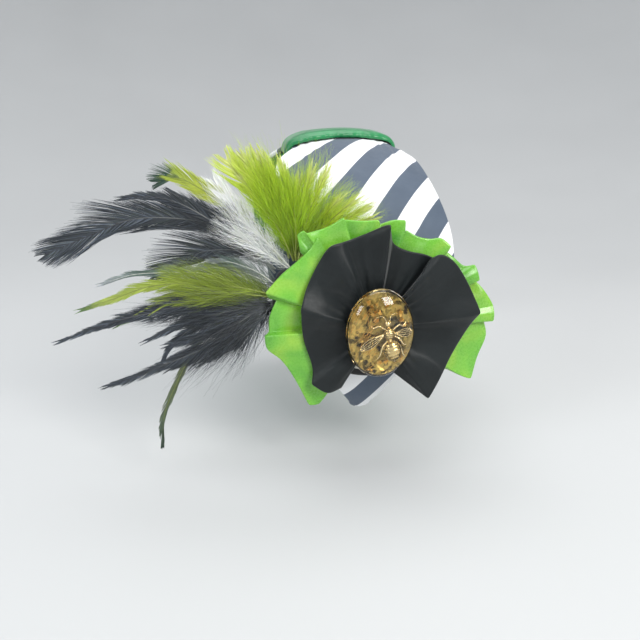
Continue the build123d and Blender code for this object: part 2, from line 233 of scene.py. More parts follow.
class Shader:
    """A small helper that adds and links nodes of one material."""

    def __init__(self, name):
        self.material = bpy.data.materials.new(name)
        self.material.use_nodes = True
        self.nodes = self.material.node_tree.nodes
        self.links = self.material.node_tree.links
        self.bsdf = self.nodes["Principled BSDF"]

    def add(self, kind, **values):
        """Add a node, and set its sockets or properties by name."""
        node = self.nodes.new("ShaderNode" + kind)
        for key, value in values.items():
            name = key.replace("_", " ")
            if name in node.inputs:
                node.inputs[name].default_value = value
            else:
                setattr(node, key, value)
        return node

    def link(self, source, target):
        self.links.new(source, target)
        return target

    def place(self, kind="Object"):
        """Texture coordinates of one kind."""
        return self.add("TexCoord").outputs[kind]

    def noise(self, vector, scale, detail=3.0, rough=0.5, distortion=0.0):
        node = self.add("TexNoise", Scale=scale, Detail=detail, Roughness=rough)
        node.inputs["Distortion"].default_value = distortion
        self.link(vector, node.inputs["Vector"])
        return node.outputs["Fac"]

    def math(self, operation, a, b=None, clamp=False):
        node = self.add("Math", operation=operation, use_clamp=clamp)
        for number, value in enumerate((a, b)):
            if value is None:
                continue
            if isinstance(value, (int, float)):
                node.inputs[number].default_value = value
            else:
                self.link(value, node.inputs[number])
        return node.outputs[0]

    def ramp(self, value, stops):
        """Colours at positions of a 0 to 1 value."""
        node = self.add("ValToRGB")
        band = node.color_ramp
        while len(band.elements) < len(stops):
            band.elements.new(0.5)
        for element, (place, colour) in zip(band.elements, stops):
            element.position = place
            element.color = (*colour, 1)
        self.link(value, node.inputs["Fac"])
        return node.outputs["Color"]

    def mix(self, factor, a, b, blend="MIX"):
        node = self.add("Mix", data_type="RGBA", blend_type=blend)
        for value, socket in ((factor, node.inputs[0]), (a, node.inputs[6]), (b, node.inputs[7])):
            if isinstance(value, (int, float)):
                socket.default_value = value
            elif isinstance(value, tuple):
                socket.default_value = (*value, 1)
            else:
                self.link(value, socket)
        return node.outputs[2]

    def split(self, vector):
        """The x, y and z of a vector."""
        node = self.add("SeparateXYZ")
        self.link(vector, node.inputs[0])
        return node.outputs

    def bw(self, colour):
        node = self.add("RGBToBW")
        self.link(colour, node.inputs[0])
        return node.outputs[0]

    def blend(self, a, share, b, rest):
        """The sum of two values, each by its own weight."""
        return self.math("ADD", self.math("MULTIPLY", a, share), self.math("MULTIPLY", b, rest))

    def around_zero(self, noise, swing):
        """A noise moved to lie round zero, and scaled."""
        return self.math("MULTIPLY", self.math("SUBTRACT", noise, 0.5), swing)

    def bump(self, height, strength, distance, below=None):
        node = self.add("Bump", Strength=strength, Distance=distance)
        self.link(height, node.inputs["Height"])
        if below is not None:
            self.link(below, node.inputs["Normal"])
        return node.outputs["Normal"]

    def set(self, **values):
        """Set or link sockets of the surface shader."""
        for key, value in values.items():
            socket = self.bsdf.inputs[key.replace("_", " ")]
            if isinstance(value, bpy.types.NodeSocket):
                self.link(value, socket)
            elif socket.type == "RGBA":
                socket.default_value = (*value, 1)
            else:
                socket.default_value = value
        return self.material


WEAVE_PITCH = 0.45           # threads of the cotton cover
STRIPE_ANGLE = math.radians(55)
STRIPE_PITCH = 21.5
STRIPE_CENTRE = 9.5


def woven_height(shader, vector, pitch):
    """Height of a plain weave of a given pitch in millimetres, from flat cloth coordinates."""
    wave = math.pi / pitch
    parts = shader.split(vector)
    warp = shader.math("SINE", shader.math("MULTIPLY", parts[0], wave))
    weft = shader.math("SINE", shader.math("MULTIPLY", parts[1], wave))
    return shader.math("MULTIPLY", warp, weft)


def cloth_mm(shader):
    """Flat cloth coordinates in millimetres, from the cloth UV map."""
    node = shader.add("UVMap", uv_map="cloth")
    scale = shader.add("VectorMath", operation="SCALE", Scale=100.0)
    shader.link(node.outputs[0], scale.inputs[0])
    return scale.outputs[0]


def striped_material():
    """White sateen with broad slate-navy stripes on the bias."""
    s = Shader("striped_sateen")
    cloth = cloth_mm(s)
    parts = s.split(cloth)
    across = s.blend(parts[0], math.sin(STRIPE_ANGLE), parts[1], math.cos(STRIPE_ANGLE))
    wander = s.around_zero(s.noise(cloth, 0.03, 2), 1.5)
    ragged = s.around_zero(s.noise(cloth, 2.5, 2), 0.35)
    place = s.math("ADD", s.math("ADD", across, wander), ragged)
    phase = s.math("DIVIDE", s.math("SUBTRACT", place, STRIPE_CENTRE), STRIPE_PITCH)
    wave = s.math("COSINE", s.math("MULTIPLY", phase, 2 * math.pi))
    inside = s.math("ADD", s.math("MULTIPLY", wave, 12.0), 0.5, clamp=True)
    speck = s.noise(cloth, 3.0, 4, 0.7)
    broad = s.noise(cloth, 0.08, 2)
    navy = s.ramp(s.blend(speck, 0.7, broad, 0.3),
                  [(0.3, (0.040, 0.060, 0.095)), (0.7, (0.085, 0.115, 0.160))])
    white = s.ramp(speck, [(0.3, (0.74, 0.75, 0.78)), (0.7, (0.86, 0.86, 0.87))])
    colour = s.mix(inside, white, navy)
    weave = s.bump(woven_height(s, cloth, WEAVE_PITCH), 0.25, 0.06 * MM)
    soft = s.bump(s.noise(cloth, 0.25, 3), 0.25, 0.6 * MM, weave)
    return s.set(Base_Color=colour, Roughness=0.62, Sheen_Weight=0.25, Sheen_Roughness=0.4,
                 Normal=soft)


def satin_material(name, dark, mid, bright, rough=0.3, aniso=0.55, sheen=0.3, coat=0.0,
                   creases=0.30, gloss_level=0.55, spread=0.21):
    """Polyester satin: fine threads, a directional gloss, and soft patches between its dark and
    bright colours that are painted fold shade and sheen over its own mid colour.
    """
    s = Shader(name)
    place = s.place()
    # Painted shade and sheen: the cloud noise moves the colour between the dark and bright stops,
    # standing in for the shading of folds.
    cloud = s.noise(place, 42.0, 3, 0.5, 0.9)
    fine = s.noise(place, 900.0, 3, 0.6)
    colour = s.ramp(s.blend(cloud, 0.93, fine, 0.07),
                    [(0.5 - spread, dark), (0.5, mid), (0.5 + spread, bright)])
    stretch = s.add("Mapping")
    stretch.inputs["Scale"].default_value = (4000.0, 4000.0, 500.0)
    s.link(place, stretch.inputs["Vector"])
    threads = s.bump(s.noise(stretch.outputs[0], 1.0, 2), 0.12, 0.05 * MM)
    ripple = s.bump(s.noise(place, 110.0, 3, 0.5, 0.8), creases, 0.7 * MM, threads)
    gloss = s.ramp(fine, [(0.2, grey(rough * 0.85)), (0.8, grey(rough * 1.2))])
    return s.set(Base_Color=colour, Roughness=gloss, Anisotropic=aniso, Sheen_Weight=sheen,
                 Sheen_Roughness=0.35, Coat_Weight=coat, Coat_Roughness=0.25, Normal=ripple,
                 Specular_IOR_Level=gloss_level)


def felt_material(name, colour):
    """Pressed felt or buckram with a hairy, matt surface."""
    s = Shader(name)
    place = s.place()
    hair = s.noise(place, 2200.0, 4, 0.75, 1.5)
    dark = tuple(c * 0.6 for c in colour)
    bright = tuple(min(c * 1.35, 1) for c in colour)
    tone = s.ramp(hair, [(0.3, dark), (0.7, bright)])
    return s.set(Base_Color=tone, Roughness=0.95, Sheen_Weight=0.4, Sheen_Roughness=0.5,
                 Normal=s.bump(hair, 0.6, 0.25 * MM))


def metal_material(name, colour, rough, wear=0.3):
    """Plated or cast metal with fine scratches and dull patches."""
    s = Shader(name)
    place = s.place()
    dull = s.noise(place, 700.0, 4, 0.6)
    tone = s.ramp(dull, [(0.3, tuple(c * (1 - wear) for c in colour)), (0.65, colour)])
    gloss = s.ramp(dull, [(0.3, grey(rough * 1.6)), (0.7, grey(rough * 0.8))])
    return s.set(Base_Color=tone, Roughness=gloss, Metallic=1.0,
                 Normal=s.bump(s.noise(place, 3000.0, 3), 0.1, 0.05 * MM))


# Each satin's dark and bright colours are painted fold shade and sheen; the mid colour is its own.
SATIN_GREEN = satin_material("kelly_satin", (0.006, 0.14, 0.042), (0.009, 0.20, 0.06),
                             (0.015, 0.27, 0.082), 0.34, spread=0.26)
SATIN_LIME = satin_material("lime_satin", (0.050, 0.26, 0.026), (0.15, 0.43, 0.040),
                            (0.32, 0.54, 0.052), 0.27, 0.6, 0.12, 0.0, 0.06, 0.6, spread=0.26)
SATIN_BLACK = satin_material("black_satin", (0.0060, 0.0085, 0.0090), (0.0085, 0.0115, 0.0125),
                             (0.0130, 0.0170, 0.0180), 0.50, 0.65, 0.28, 0.0, 0.40, 0.30)
FELT_BLACK = felt_material("black_felt", (0.02, 0.02, 0.022))
BUCKRAM = felt_material("buckram", (0.62, 0.60, 0.54))
CLIP_METAL = metal_material("clip_nickel", (0.75, 0.75, 0.76), 0.25, 0.10)


# ---- the hat ---------------------------------------------------------------------------------
def rim_rows(count):
    """Turns from the near tip, over the crown, to the far tip, closer together at the tips."""
    t = np.linspace(-1, 1, count)
    return -TIP_TURN * np.sign(t) * (1 - (1 - np.abs(t)) ** 1.5)


def rim_frame(turns, height):
    """Right-hand rim points with the surface normal and the direction out over the rim."""
    width = width_at_turn(turns, height)
    width[0] = width[-1] = 0.0
    rim = head_point(width, turns, height)
    mirrored = rim * np.array([-1, 1, 1])
    loop = np.vstack([mirrored[2:0:-1], rim, mirrored[-2:-4:-1]])
    along = np.gradient(loop, axis=0)[2:-2]
    along /= np.linalg.norm(along, axis=1, keepdims=True)
    normal = head_normal(rim)
    out = np.cross(along, normal)
    out *= np.sign((out[:, :1] * np.maximum(rim[:, :1], 1e-3) + 1e-9))
    out[0], out[-1] = np.cross(normal[0], (1, 0, 0)), np.cross((1, 0, 0), normal[-1])
    for end in (0, -1):
        if out[end, 2] > 0:
            out[end] *= -1
    out /= np.linalg.norm(out, axis=1, keepdims=True)
    return rim, normal, out


def turn_of(points):
    """How far round from the crown a point lies."""
    return np.arctan2(-points[..., 1], points[..., 2] + HEAD_RADIUS)


EASE, EASE_FROM = 0.0062, 4  # how fast the cloth is eased, and from which x leftwards


def cloth_uv(points):
    """Flat cloth coordinates of points over the head, in units of 100 mm.

    The bias-cut cloth is eased round the left of the crown, which flattens its stripes there.
    """
    x = points[..., 0]
    along = turn_of(points) * (HEAD_RADIUS + COVER_TOP)
    ease = EASE * np.minimum(x - EASE_FROM, 0) ** 2 * (along > 0)
    return np.stack([x + ease, along], -1) / 100


COVER_ROWS, COVER_HALF_COLS = 420, 26
ROLL_STEPS = 10


def make_cover():
    """The striped cloth over the dome, rolled round the rim and turned in underneath."""
    turns = rim_rows(COVER_ROWS)
    rim, normal, out = rim_frame(turns, ROLL_R)
    inset = rim - out * ROLL_R
    edge_turn = turn_of(inset)
    edge_x = inset[:, 0]
    edge_x[0] = edge_x[-1] = 0.0
    share = np.linspace(0, 1, COVER_HALF_COLS)
    x = edge_x[:, None] * share
    pull = np.exp(-(((np.abs(turns) * HEAD_RADIUS) - 24) / 16) ** 2)[:, None]
    gather = 0.45 * pull * np.sin(x * 0.9 + 1.3 * np.sin(x * 0.31)) * smoothstep(6, 24, x)
    crown = 0.5 * (1 - share**2) * np.ones_like(x)
    top = head_point(x, edge_turn[:, None] * np.ones_like(x), COVER_TOP - 0.4 + crown + gather)
    columns = [top[:, j] for j in range(COVER_HALF_COLS)]
    for k in range(1, ROLL_STEPS + 1):
        angle = math.pi * k / ROLL_STEPS
        columns.append(inset + out * ROLL_R * math.sin(angle)
                       + normal * (ROLL_R - 0.35) * math.cos(angle))
    for depth in (1.5, 3.5):
        columns.append(inset - out * depth - normal * (ROLL_R - 0.35))
    right = np.stack(columns, 1)
    left = right[:, :0:-1] * np.array([-1, 1, 1])
    points = np.concatenate([left, right], 1)
    uv = cloth_uv(points)
    obj = weld(grid_object("striped_cover_cloth", points, uv), 2e-5)
    thicken(obj, 0.5)
    return finish_piece(obj, striped_material(), "striped_fabric", "striped_cover", "rim_wire")


PLEAT = 3.4                  # pitch of the gathered pleats round the lining's edge
LINING_ROWS, LINING_HALF_COLS = 1100, 20


def make_lining():
    """Kelly satin inside the hat, gathered in small pleats along the rim."""
    turns = np.linspace(TIP_TURN * 0.995, -TIP_TURN * 0.995, LINING_ROWS)
    rim, _, out = rim_frame(turns, 0.0)
    steps = np.linalg.norm(np.diff(rim, axis=0), axis=1)
    travel = np.concatenate([[0], np.cumsum(steps)])
    share = 1 - (1 - np.linspace(0, 1, LINING_HALF_COLS)) ** 1.8
    edge = rim - out * 1.3
    edge_x, edge_turn = np.maximum(edge[:, 0], 0.3), turn_of(edge)
    x = edge_x[:, None] * (1 - share)
    inward = edge_x[:, None] * share
    bend = sum(a * np.sin(travel / w + p) for a, w, p in ((0.9, 9.0, 0.4), (0.5, 4.1, 2.0)))
    phase = (2 * math.pi * travel / PLEAT + bend)[:, None] + 0.05 * inward
    depth = 0.95 * np.exp(-inward / 7.0) + 0.10
    ripple = (np.abs(np.sin(phase / 2)) ** 0.7) * depth
    puff = 1.1 * np.exp(-((inward - 3.0) / 3.5) ** 2)
    sides = []
    for sign in (1, -1):
        shift = ripple if sign > 0 else np.roll(ripple, 5, axis=0)
        height = 0.35 - puff * 0.6 - shift
        side = head_point(x * sign, edge_turn[:, None] * np.ones_like(x), height)
        sides.append(side)
    points = np.concatenate([sides[1], sides[0][:, -2::-1]], 1)
    obj = grid_object("satin_lining_cloth", points)
    thicken(obj, 0.25, 0.0)
    return finish_piece(obj, SATIN_GREEN, "kelly_satin", "satin_lining", "foundation")


BAND_HALF = 11.8             # half width of the crown band
BAND_LIFT = 3.9              # its foot over the head form
BAND_PAD = 3.9               # and its height over the cover
BAND_SKEW = 0.13             # its slant over the crown
BAND_STEPS, BAND_SIDES = 150, 56


def make_band():
    """Padded satin band over the waist, with soft folds along it, tucked under the rim."""
    top = [(x, BAND_LIFT) for x in np.linspace(-22, 22, 25)]
    side = [(25.2, 3.6), (27.0, 2.6), (27.6, 0.8), (26.9, -0.7), (25.0, -1.1), (22.0, -1.2),
            (19.0, -1.0)]
    path = [(-x, h) for x, h in reversed(side)] + top + side
    path = smooth_curve(path, BAND_STEPS)
    slope = np.gradient(path, axis=0)
    slope /= np.linalg.norm(slope, axis=1, keepdims=True)
    out = np.stack([-slope[:, 1], slope[:, 0]], 1)
    under = smoothstep(0.5, -0.9, path[:, 1]) * smoothstep(20, 26.5, np.abs(path[:, 0]))
    under = np.maximum(under, (path[:, 1] < -0.6) * 1.0)
    around = np.linspace(0, 2 * math.pi, BAND_SIDES, endpoint=False)
    rows = []
    for number, (x, height) in enumerate(path):
        flat = under[number]
        half = BAND_HALF - 1.2 * flat + 0.25 * math.sin(x * 0.5) + 0.2 * math.sin(x * 1.3 + 1)
        full = (BAND_PAD - 3.1 * flat) * (1 - 0.22 * smoothstep(18, 27, abs(x)))
        row = []
        for angle in around:
            c, s = math.cos(angle), math.sin(angle)
            y = half * math.copysign(abs(c) ** 0.55, c)
            fold = 0.30 * math.cos(y * 0.85 + 0.03 * x) + 0.15 * math.sin(y * 1.9 + 0.06 * x)
            rise = full * (0.10 + 0.90 * max(s, 0) ** 0.55) + fold * max(s, 0) * (1 - flat)
            row.append((x + out[number, 0] * rise, y, height + out[number, 1] * rise))
        rows.append(row)
    shape = np.asarray(rows)
    skew = BAND_SKEW * shape[..., 0]
    points = head_point(shape[..., 0], -(shape[..., 1] + skew) / HEAD_RADIUS, shape[..., 2])
    obj = grid_object("crown_band_satin", points, wrap_cols=True)
    cap_ends(obj, BAND_STEPS, BAND_SIDES)
    return finish_piece(obj, SATIN_GREEN, "kelly_satin", "crown_band")


def cap_ends(obj, rows, cols):
    """Close the two open ends of a tube made as a grid."""
    import bmesh
    made = bmesh.new()
    made.from_mesh(obj.data)
    made.verts.ensure_lookup_table()
    for first in (0, (rows - 1) * cols):
        ring = [made.verts[first + k] for k in range(cols)]
        made.faces.new(ring)
    bmesh.ops.recalc_face_normals(made, faces=made.faces)
    made.to_mesh(obj.data)
    made.free()


# ---- rosette ---------------------------------------------------------------------------------
EDGE_ROLL = 0.60             # radius of the ribbon's folded edge
HEM = 3.0                    # width along the edge that is meshed more finely
RUFFLE_START = 0.16          # share of a ray where the cloth begins
RUFFLE_RINGS, RUFFLE_PER_RAY = 24, 14
RIBBON_THICKNESS = 0.30
CRUMPLE = 0.45


def ruffle_points(rays, base, hub):
    """A ruffle of folded ribbon whose rays run from the middle out to the folded edge.

    A ray is (x, z, rim lift, middle lift, corner); x and z are its outer end, lifts are
    towards the front. The cloth's foot is at the distance base in front of the XZ plane, and
    its gathered middle is drawn up to hub, where it is sewn to the layer in front.
    The edge is rolled over, and the ribbon's back leaf returns a little way under it.
    """
    dense = runs_between_corners(rays, RUFFLE_PER_RAY)
    middle = np.array([ROSETTE_X, ROSETTE_Z])
    start = RUFFLE_START
    arm = dense[:, :2] - middle
    length = np.linalg.norm(arm, axis=1, keepdims=True)
    aim = arm / length
    source = np.random.default_rng(len(rays))
    travel = np.linspace(0, 1, len(dense))
    gather = sum(source.uniform(0.4, 1.0) * np.sin(2 * math.pi * travel * k + source.uniform(0, 6))
                 for k in (17, 23, 31, 44)) * 0.30
    hem = 1 - HEM / length[:, 0]
    reaches = [start + (hem - start) * share for share in np.linspace(0, 0.96, RUFFLE_RINGS)]
    reaches += [1 - gap / length[:, 0] for gap in (HEM, 2.2, 1.5, 0.9, 0.4, 0.0)]
    rows = []
    for reach in reaches:
        share = (reach - start) / (1 - start)
        lift = (dense[:, 3] * np.sin(math.pi / 2 * np.minimum(share * 1.2, 1)) * (1 - share**3)
                + dense[:, 2] * share**1.6 + gather * (1 - share) ** 1.5)
        lift = lift + (hub - base - lift) * smoothstep(0.30, 0.04, share)
        rows.append((middle + arm * reach[:, None], lift))
    flat, lift = rows[-1]
    for angle in np.linspace(0, math.pi, 8)[1:]:
        rows.append((flat + aim * EDGE_ROLL * math.sin(angle),
                     lift - EDGE_ROLL * (1 - math.cos(angle))))
    for share in (0.96, 0.90, 0.82):
        reach = start + (1 - start) * share
        under = dense[:, 3] * (1 - share**3) + dense[:, 2] * share**1.6 - 2 * EDGE_ROLL - 0.1
        rows.append((middle + arm * reach, under))
    points = np.zeros((len(dense), len(rows), 3))
    for j, (flat, lift) in enumerate(rows):
        points[:, j, 0] = flat[:, 0]
        points[:, j, 1] = -(base + lift)
        points[:, j, 2] = flat[:, 1]
    return points


PANEL_BULGE = 0.13           # rise of a flat panel between two corners, as a share of its width


def runs_between_corners(rays, per_ray):
    """Smooth runs through the rays, broken where a ray is marked as a corner."""
    keys = np.asarray([ray if len(ray) == 5 else (*ray, 1) for ray in rays], float)
    corners = [i for i, ray in enumerate(keys) if ray[4]]
    out = []
    for first, last in zip(corners[:-1], corners[1:]):
        run = smooth_curve(keys[first:last + 1, :4], per_ray * (last - first) + 1)
        if last == first + 1:
            width = math.dist(keys[first, :2], keys[last, :2])
            hump = np.sin(np.linspace(0, math.pi, len(run))) * width * PANEL_BULGE
            run[:, 2] += hump
            run[:, 3] += hump * 0.8
        out.append(run[:-1])
    out.append(keys[-1:, :4])
    dense = np.vstack(out)
    soft = dense.copy()
    for _ in range(2):
        soft[1:-1] = (soft[:-2] + 2 * soft[1:-1] + soft[2:]) / 4
    return soft


LIME_FOOT = -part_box("lime_ruffle")[1].y / MM
BLACK_FOOT = -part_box("black_ruffle")[1].y / MM
PLATE_BACK = -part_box("cabochon_plate")[1].y / MM

BLACK_RAYS = [               # outer end x, z, lifts at the edge and half way, corner
    (-14.5, -102.0, 1.0, 2.5, 1), (-21.0, -103.0, 3.2, 3.8, 0), (-27.5, -99.3, 2.0, 3.0, 1),
    (-26.8, -92.0, -0.6, 0.8, 0), (-30.8, -78.1, 1.0, 1.2, 0), (-32.4, -63.7, 5.8, 4.8, 1),
    (-29.5, -55.5, 2.0, 1.6, 0), (-25.2, -46.2, 2.0, 3.2, 0), (-20.7, -38.1, 4.8, 4.2, 0),
    (-15.0, -36.3, 3.4, 2.8, 0), (-10.7, -35.7, 0.6, 0.6, 0), (-3.5, -32.7, 2.4, 2.6, 0),
    (2.0, -29.6, 5.6, 4.6, 0), (4.3, -28.9, 6.6, 4.8, 1), (5.3, -33.0, 4.4, 3.4, 0),
    (7.8, -38.2, 0.2, 0.2, 0), (13.5, -41.2, 0.6, 1.8, 0), (20.7, -42.8, 1.2, 0.8, 0),
    (25.5, -44.8, 0.2, 0.2, 1), (22.8, -43.6, 5.6, 5.6, 1), (27.3, -42.2, 6.4, 5.8, 0),
    (33.7, -46.3, 5.2, 4.6, 0), (40.2, -55.4, 3.6, 3.4, 0), (46.3, -68.3, 6.2, 3.8, 1),
    (42.5, -76.0, 2.6, 0.8, 0), (36.0, -89.0, 1.0, 1.4, 0), (30.0, -101.0, 2.6, 3.6, 0),
    (25.3, -108.7, 4.2, 4.2, 1), (18.0, -103.0, 1.8, 3.0, 0), (9.4, -95.9, 0.5, 2.0, 1),
]

LIME_RAYS = [
    (-17.0, -101.0, 0.0, 1.5, 1), (-21.2, -104.7, 0.8, 2.0, 0), (-23.3, -111.8, 1.5, 2.5, 1),
    (-28.2, -111.9, 2.0, 3.0, 1), (-34.4, -98.6, 2.0, 2.5, 0), (-40.1, -89.4, 2.5, 3.0, 0),
    (-46.4, -83.2, 4.0, 3.5, 0), (-47.7, -76.7, 5.2, 4.0, 1),
    (-45.5, -75.8, 2.0, 1.2, 1), (-45.1, -69.2, 2.4, 2.8, 0), (-42.6, -63.0, 2.5, 3.0, 0),
    (-40.0, -58.6, 1.0, 1.0, 1),
    (-42.3, -62.0, -0.5, 0.5, 1), (-44.9, -60.9, 1.0, 1.0, 0), (-46.8, -57.4, 5.2, 4.4, 1),
    (-39.8, -50.3, 4.0, 4.0, 0), (-33.8, -45.2, 4.2, 4.2, 0), (-27.9, -39.8, 4.5, 4.2, 0),
    (-24.6, -34.3, 5.5, 4.0, 1), (-26.9, -37.5, 3.0, 2.5, 0), (-31.2, -42.0, 0.5, 0.5, 1),
    (-32.7, -33.8, 1.5, 1.5, 1), (-30.5, -32.1, 3.0, 2.5, 0), (-29.0, -33.0, 4.0, 3.0, 1),
    (-20.7, -30.9, 3.0, 3.0, 0), (-13.9, -26.5, 5.4, 3.8, 1),
    (-12.0, -31.5, 3.5, 2.5, 0), (-11.5, -35.0, 0.2, 0.4, 1),
    (-12.6, -28.2, 0.5, 0.6, 1), (-5.7, -28.7, 2.2, 2.4, 0), (1.2, -28.2, 4.4, 3.0, 1),
    (1.9, -29.6, 3.6, 2.6, 0), (1.0, -32.0, 0.4, 0.6, 1),
    (3.0, -30.6, 0.4, 0.6, 1), (8.2, -28.7, 2.4, 2.0, 0), (12.9, -28.5, 4.2, 3.2, 1),
    (13.1, -34.0, 3.0, 2.4, 0), (13.0, -38.0, 0.2, 0.2, 1),
    (14.5, -33.4, 0.4, 0.4, 1), (19.4, -36.2, 1.4, 2.2, 0), (24.9, -37.4, 1.4, 2.0, 0),
    (29.5, -36.9, 3.0, 2.6, 0), (33.4, -40.0, 4.6, 3.2, 1),
    (32.5, -43.4, 2.4, 1.8, 0), (31.3, -45.4, 0.2, 0.2, 1),
    (34.0, -44.0, 0.4, 0.4, 1), (36.6, -46.2, 1.4, 1.8, 0), (41.0, -49.6, 2.0, 2.0, 0),
    (45.6, -49.0, 3.2, 2.4, 1), (47.9, -55.7, 4.2, 3.0, 1),
    (44.4, -56.3, 1.0, 0.8, 0), (43.4, -57.2, 0.0, 0.0, 1),
    (48.0, -57.6, 0.6, 0.6, 1), (51.5, -61.5, 2.2, 2.2, 0), (54.6, -66.0, 3.0, 2.6, 0),
    (55.5, -68.2, 3.4, 2.8, 1), (55.7, -74.8, 4.8, 3.4, 1),
    (52.5, -75.2, 1.4, 1.2, 1), (53.8, -82.8, 2.0, 2.2, 0), (50.1, -92.5, 2.4, 2.6, 0),
    (47.6, -103.1, 3.4, 3.0, 1), (37.2, -99.0, 0.8, 1.8, 1), (32.0, -97.0, 0.0, 1.5, 1),
]


def crumple(points, seed):
    """Small soft dents over a grid of cloth, by a few crossing waves."""
    source = random.Random(seed)
    rows, cols = points.shape[:2]
    i = np.arange(rows)[:, None]
    j = np.arange(cols)[None, :]
    total = np.zeros((rows, cols))
    for _ in range(9):
        u, v = source.uniform(0.02, 0.16), source.uniform(0.05, 0.45)
        phase = source.uniform(0, 6.28)
        total += source.uniform(0.3, 1.0) * np.sin(i * u + j * v * source.choice((-1, 1)) + phase)
    points[..., 1] -= CRUMPLE * total / 4 * smoothstep(0, 0.4, j / cols)
    return points


def make_ruffle(name, node, rays, base, hub, material, slot, seed):
    """One ruffle of the rosette, with its thickness and a folded-over outer edge."""
    obj = grid_object(name, crumple(ruffle_points(rays, base, hub), seed))
    thicken(obj, RIBBON_THICKNESS, 0.0)
    return finish_piece(obj, material, slot, node)


# ---- feathers --------------------------------------------------------------------------------
SHEET_RADIUS = 246.0         # the curved sheet that the first feather lies on
SHEET_AXIS_X = -35.0
FEATHER_FIRST = 77.8         # that sheet's distance in front of the XZ plane, at its axis
FEATHER_STEP = 0.5           # from one feather's sheet to the next
LINE_STEPS = 90              # points along a quill
BARB_STEPS = 6               # pieces along a barb
QUILL_SIDES = 7

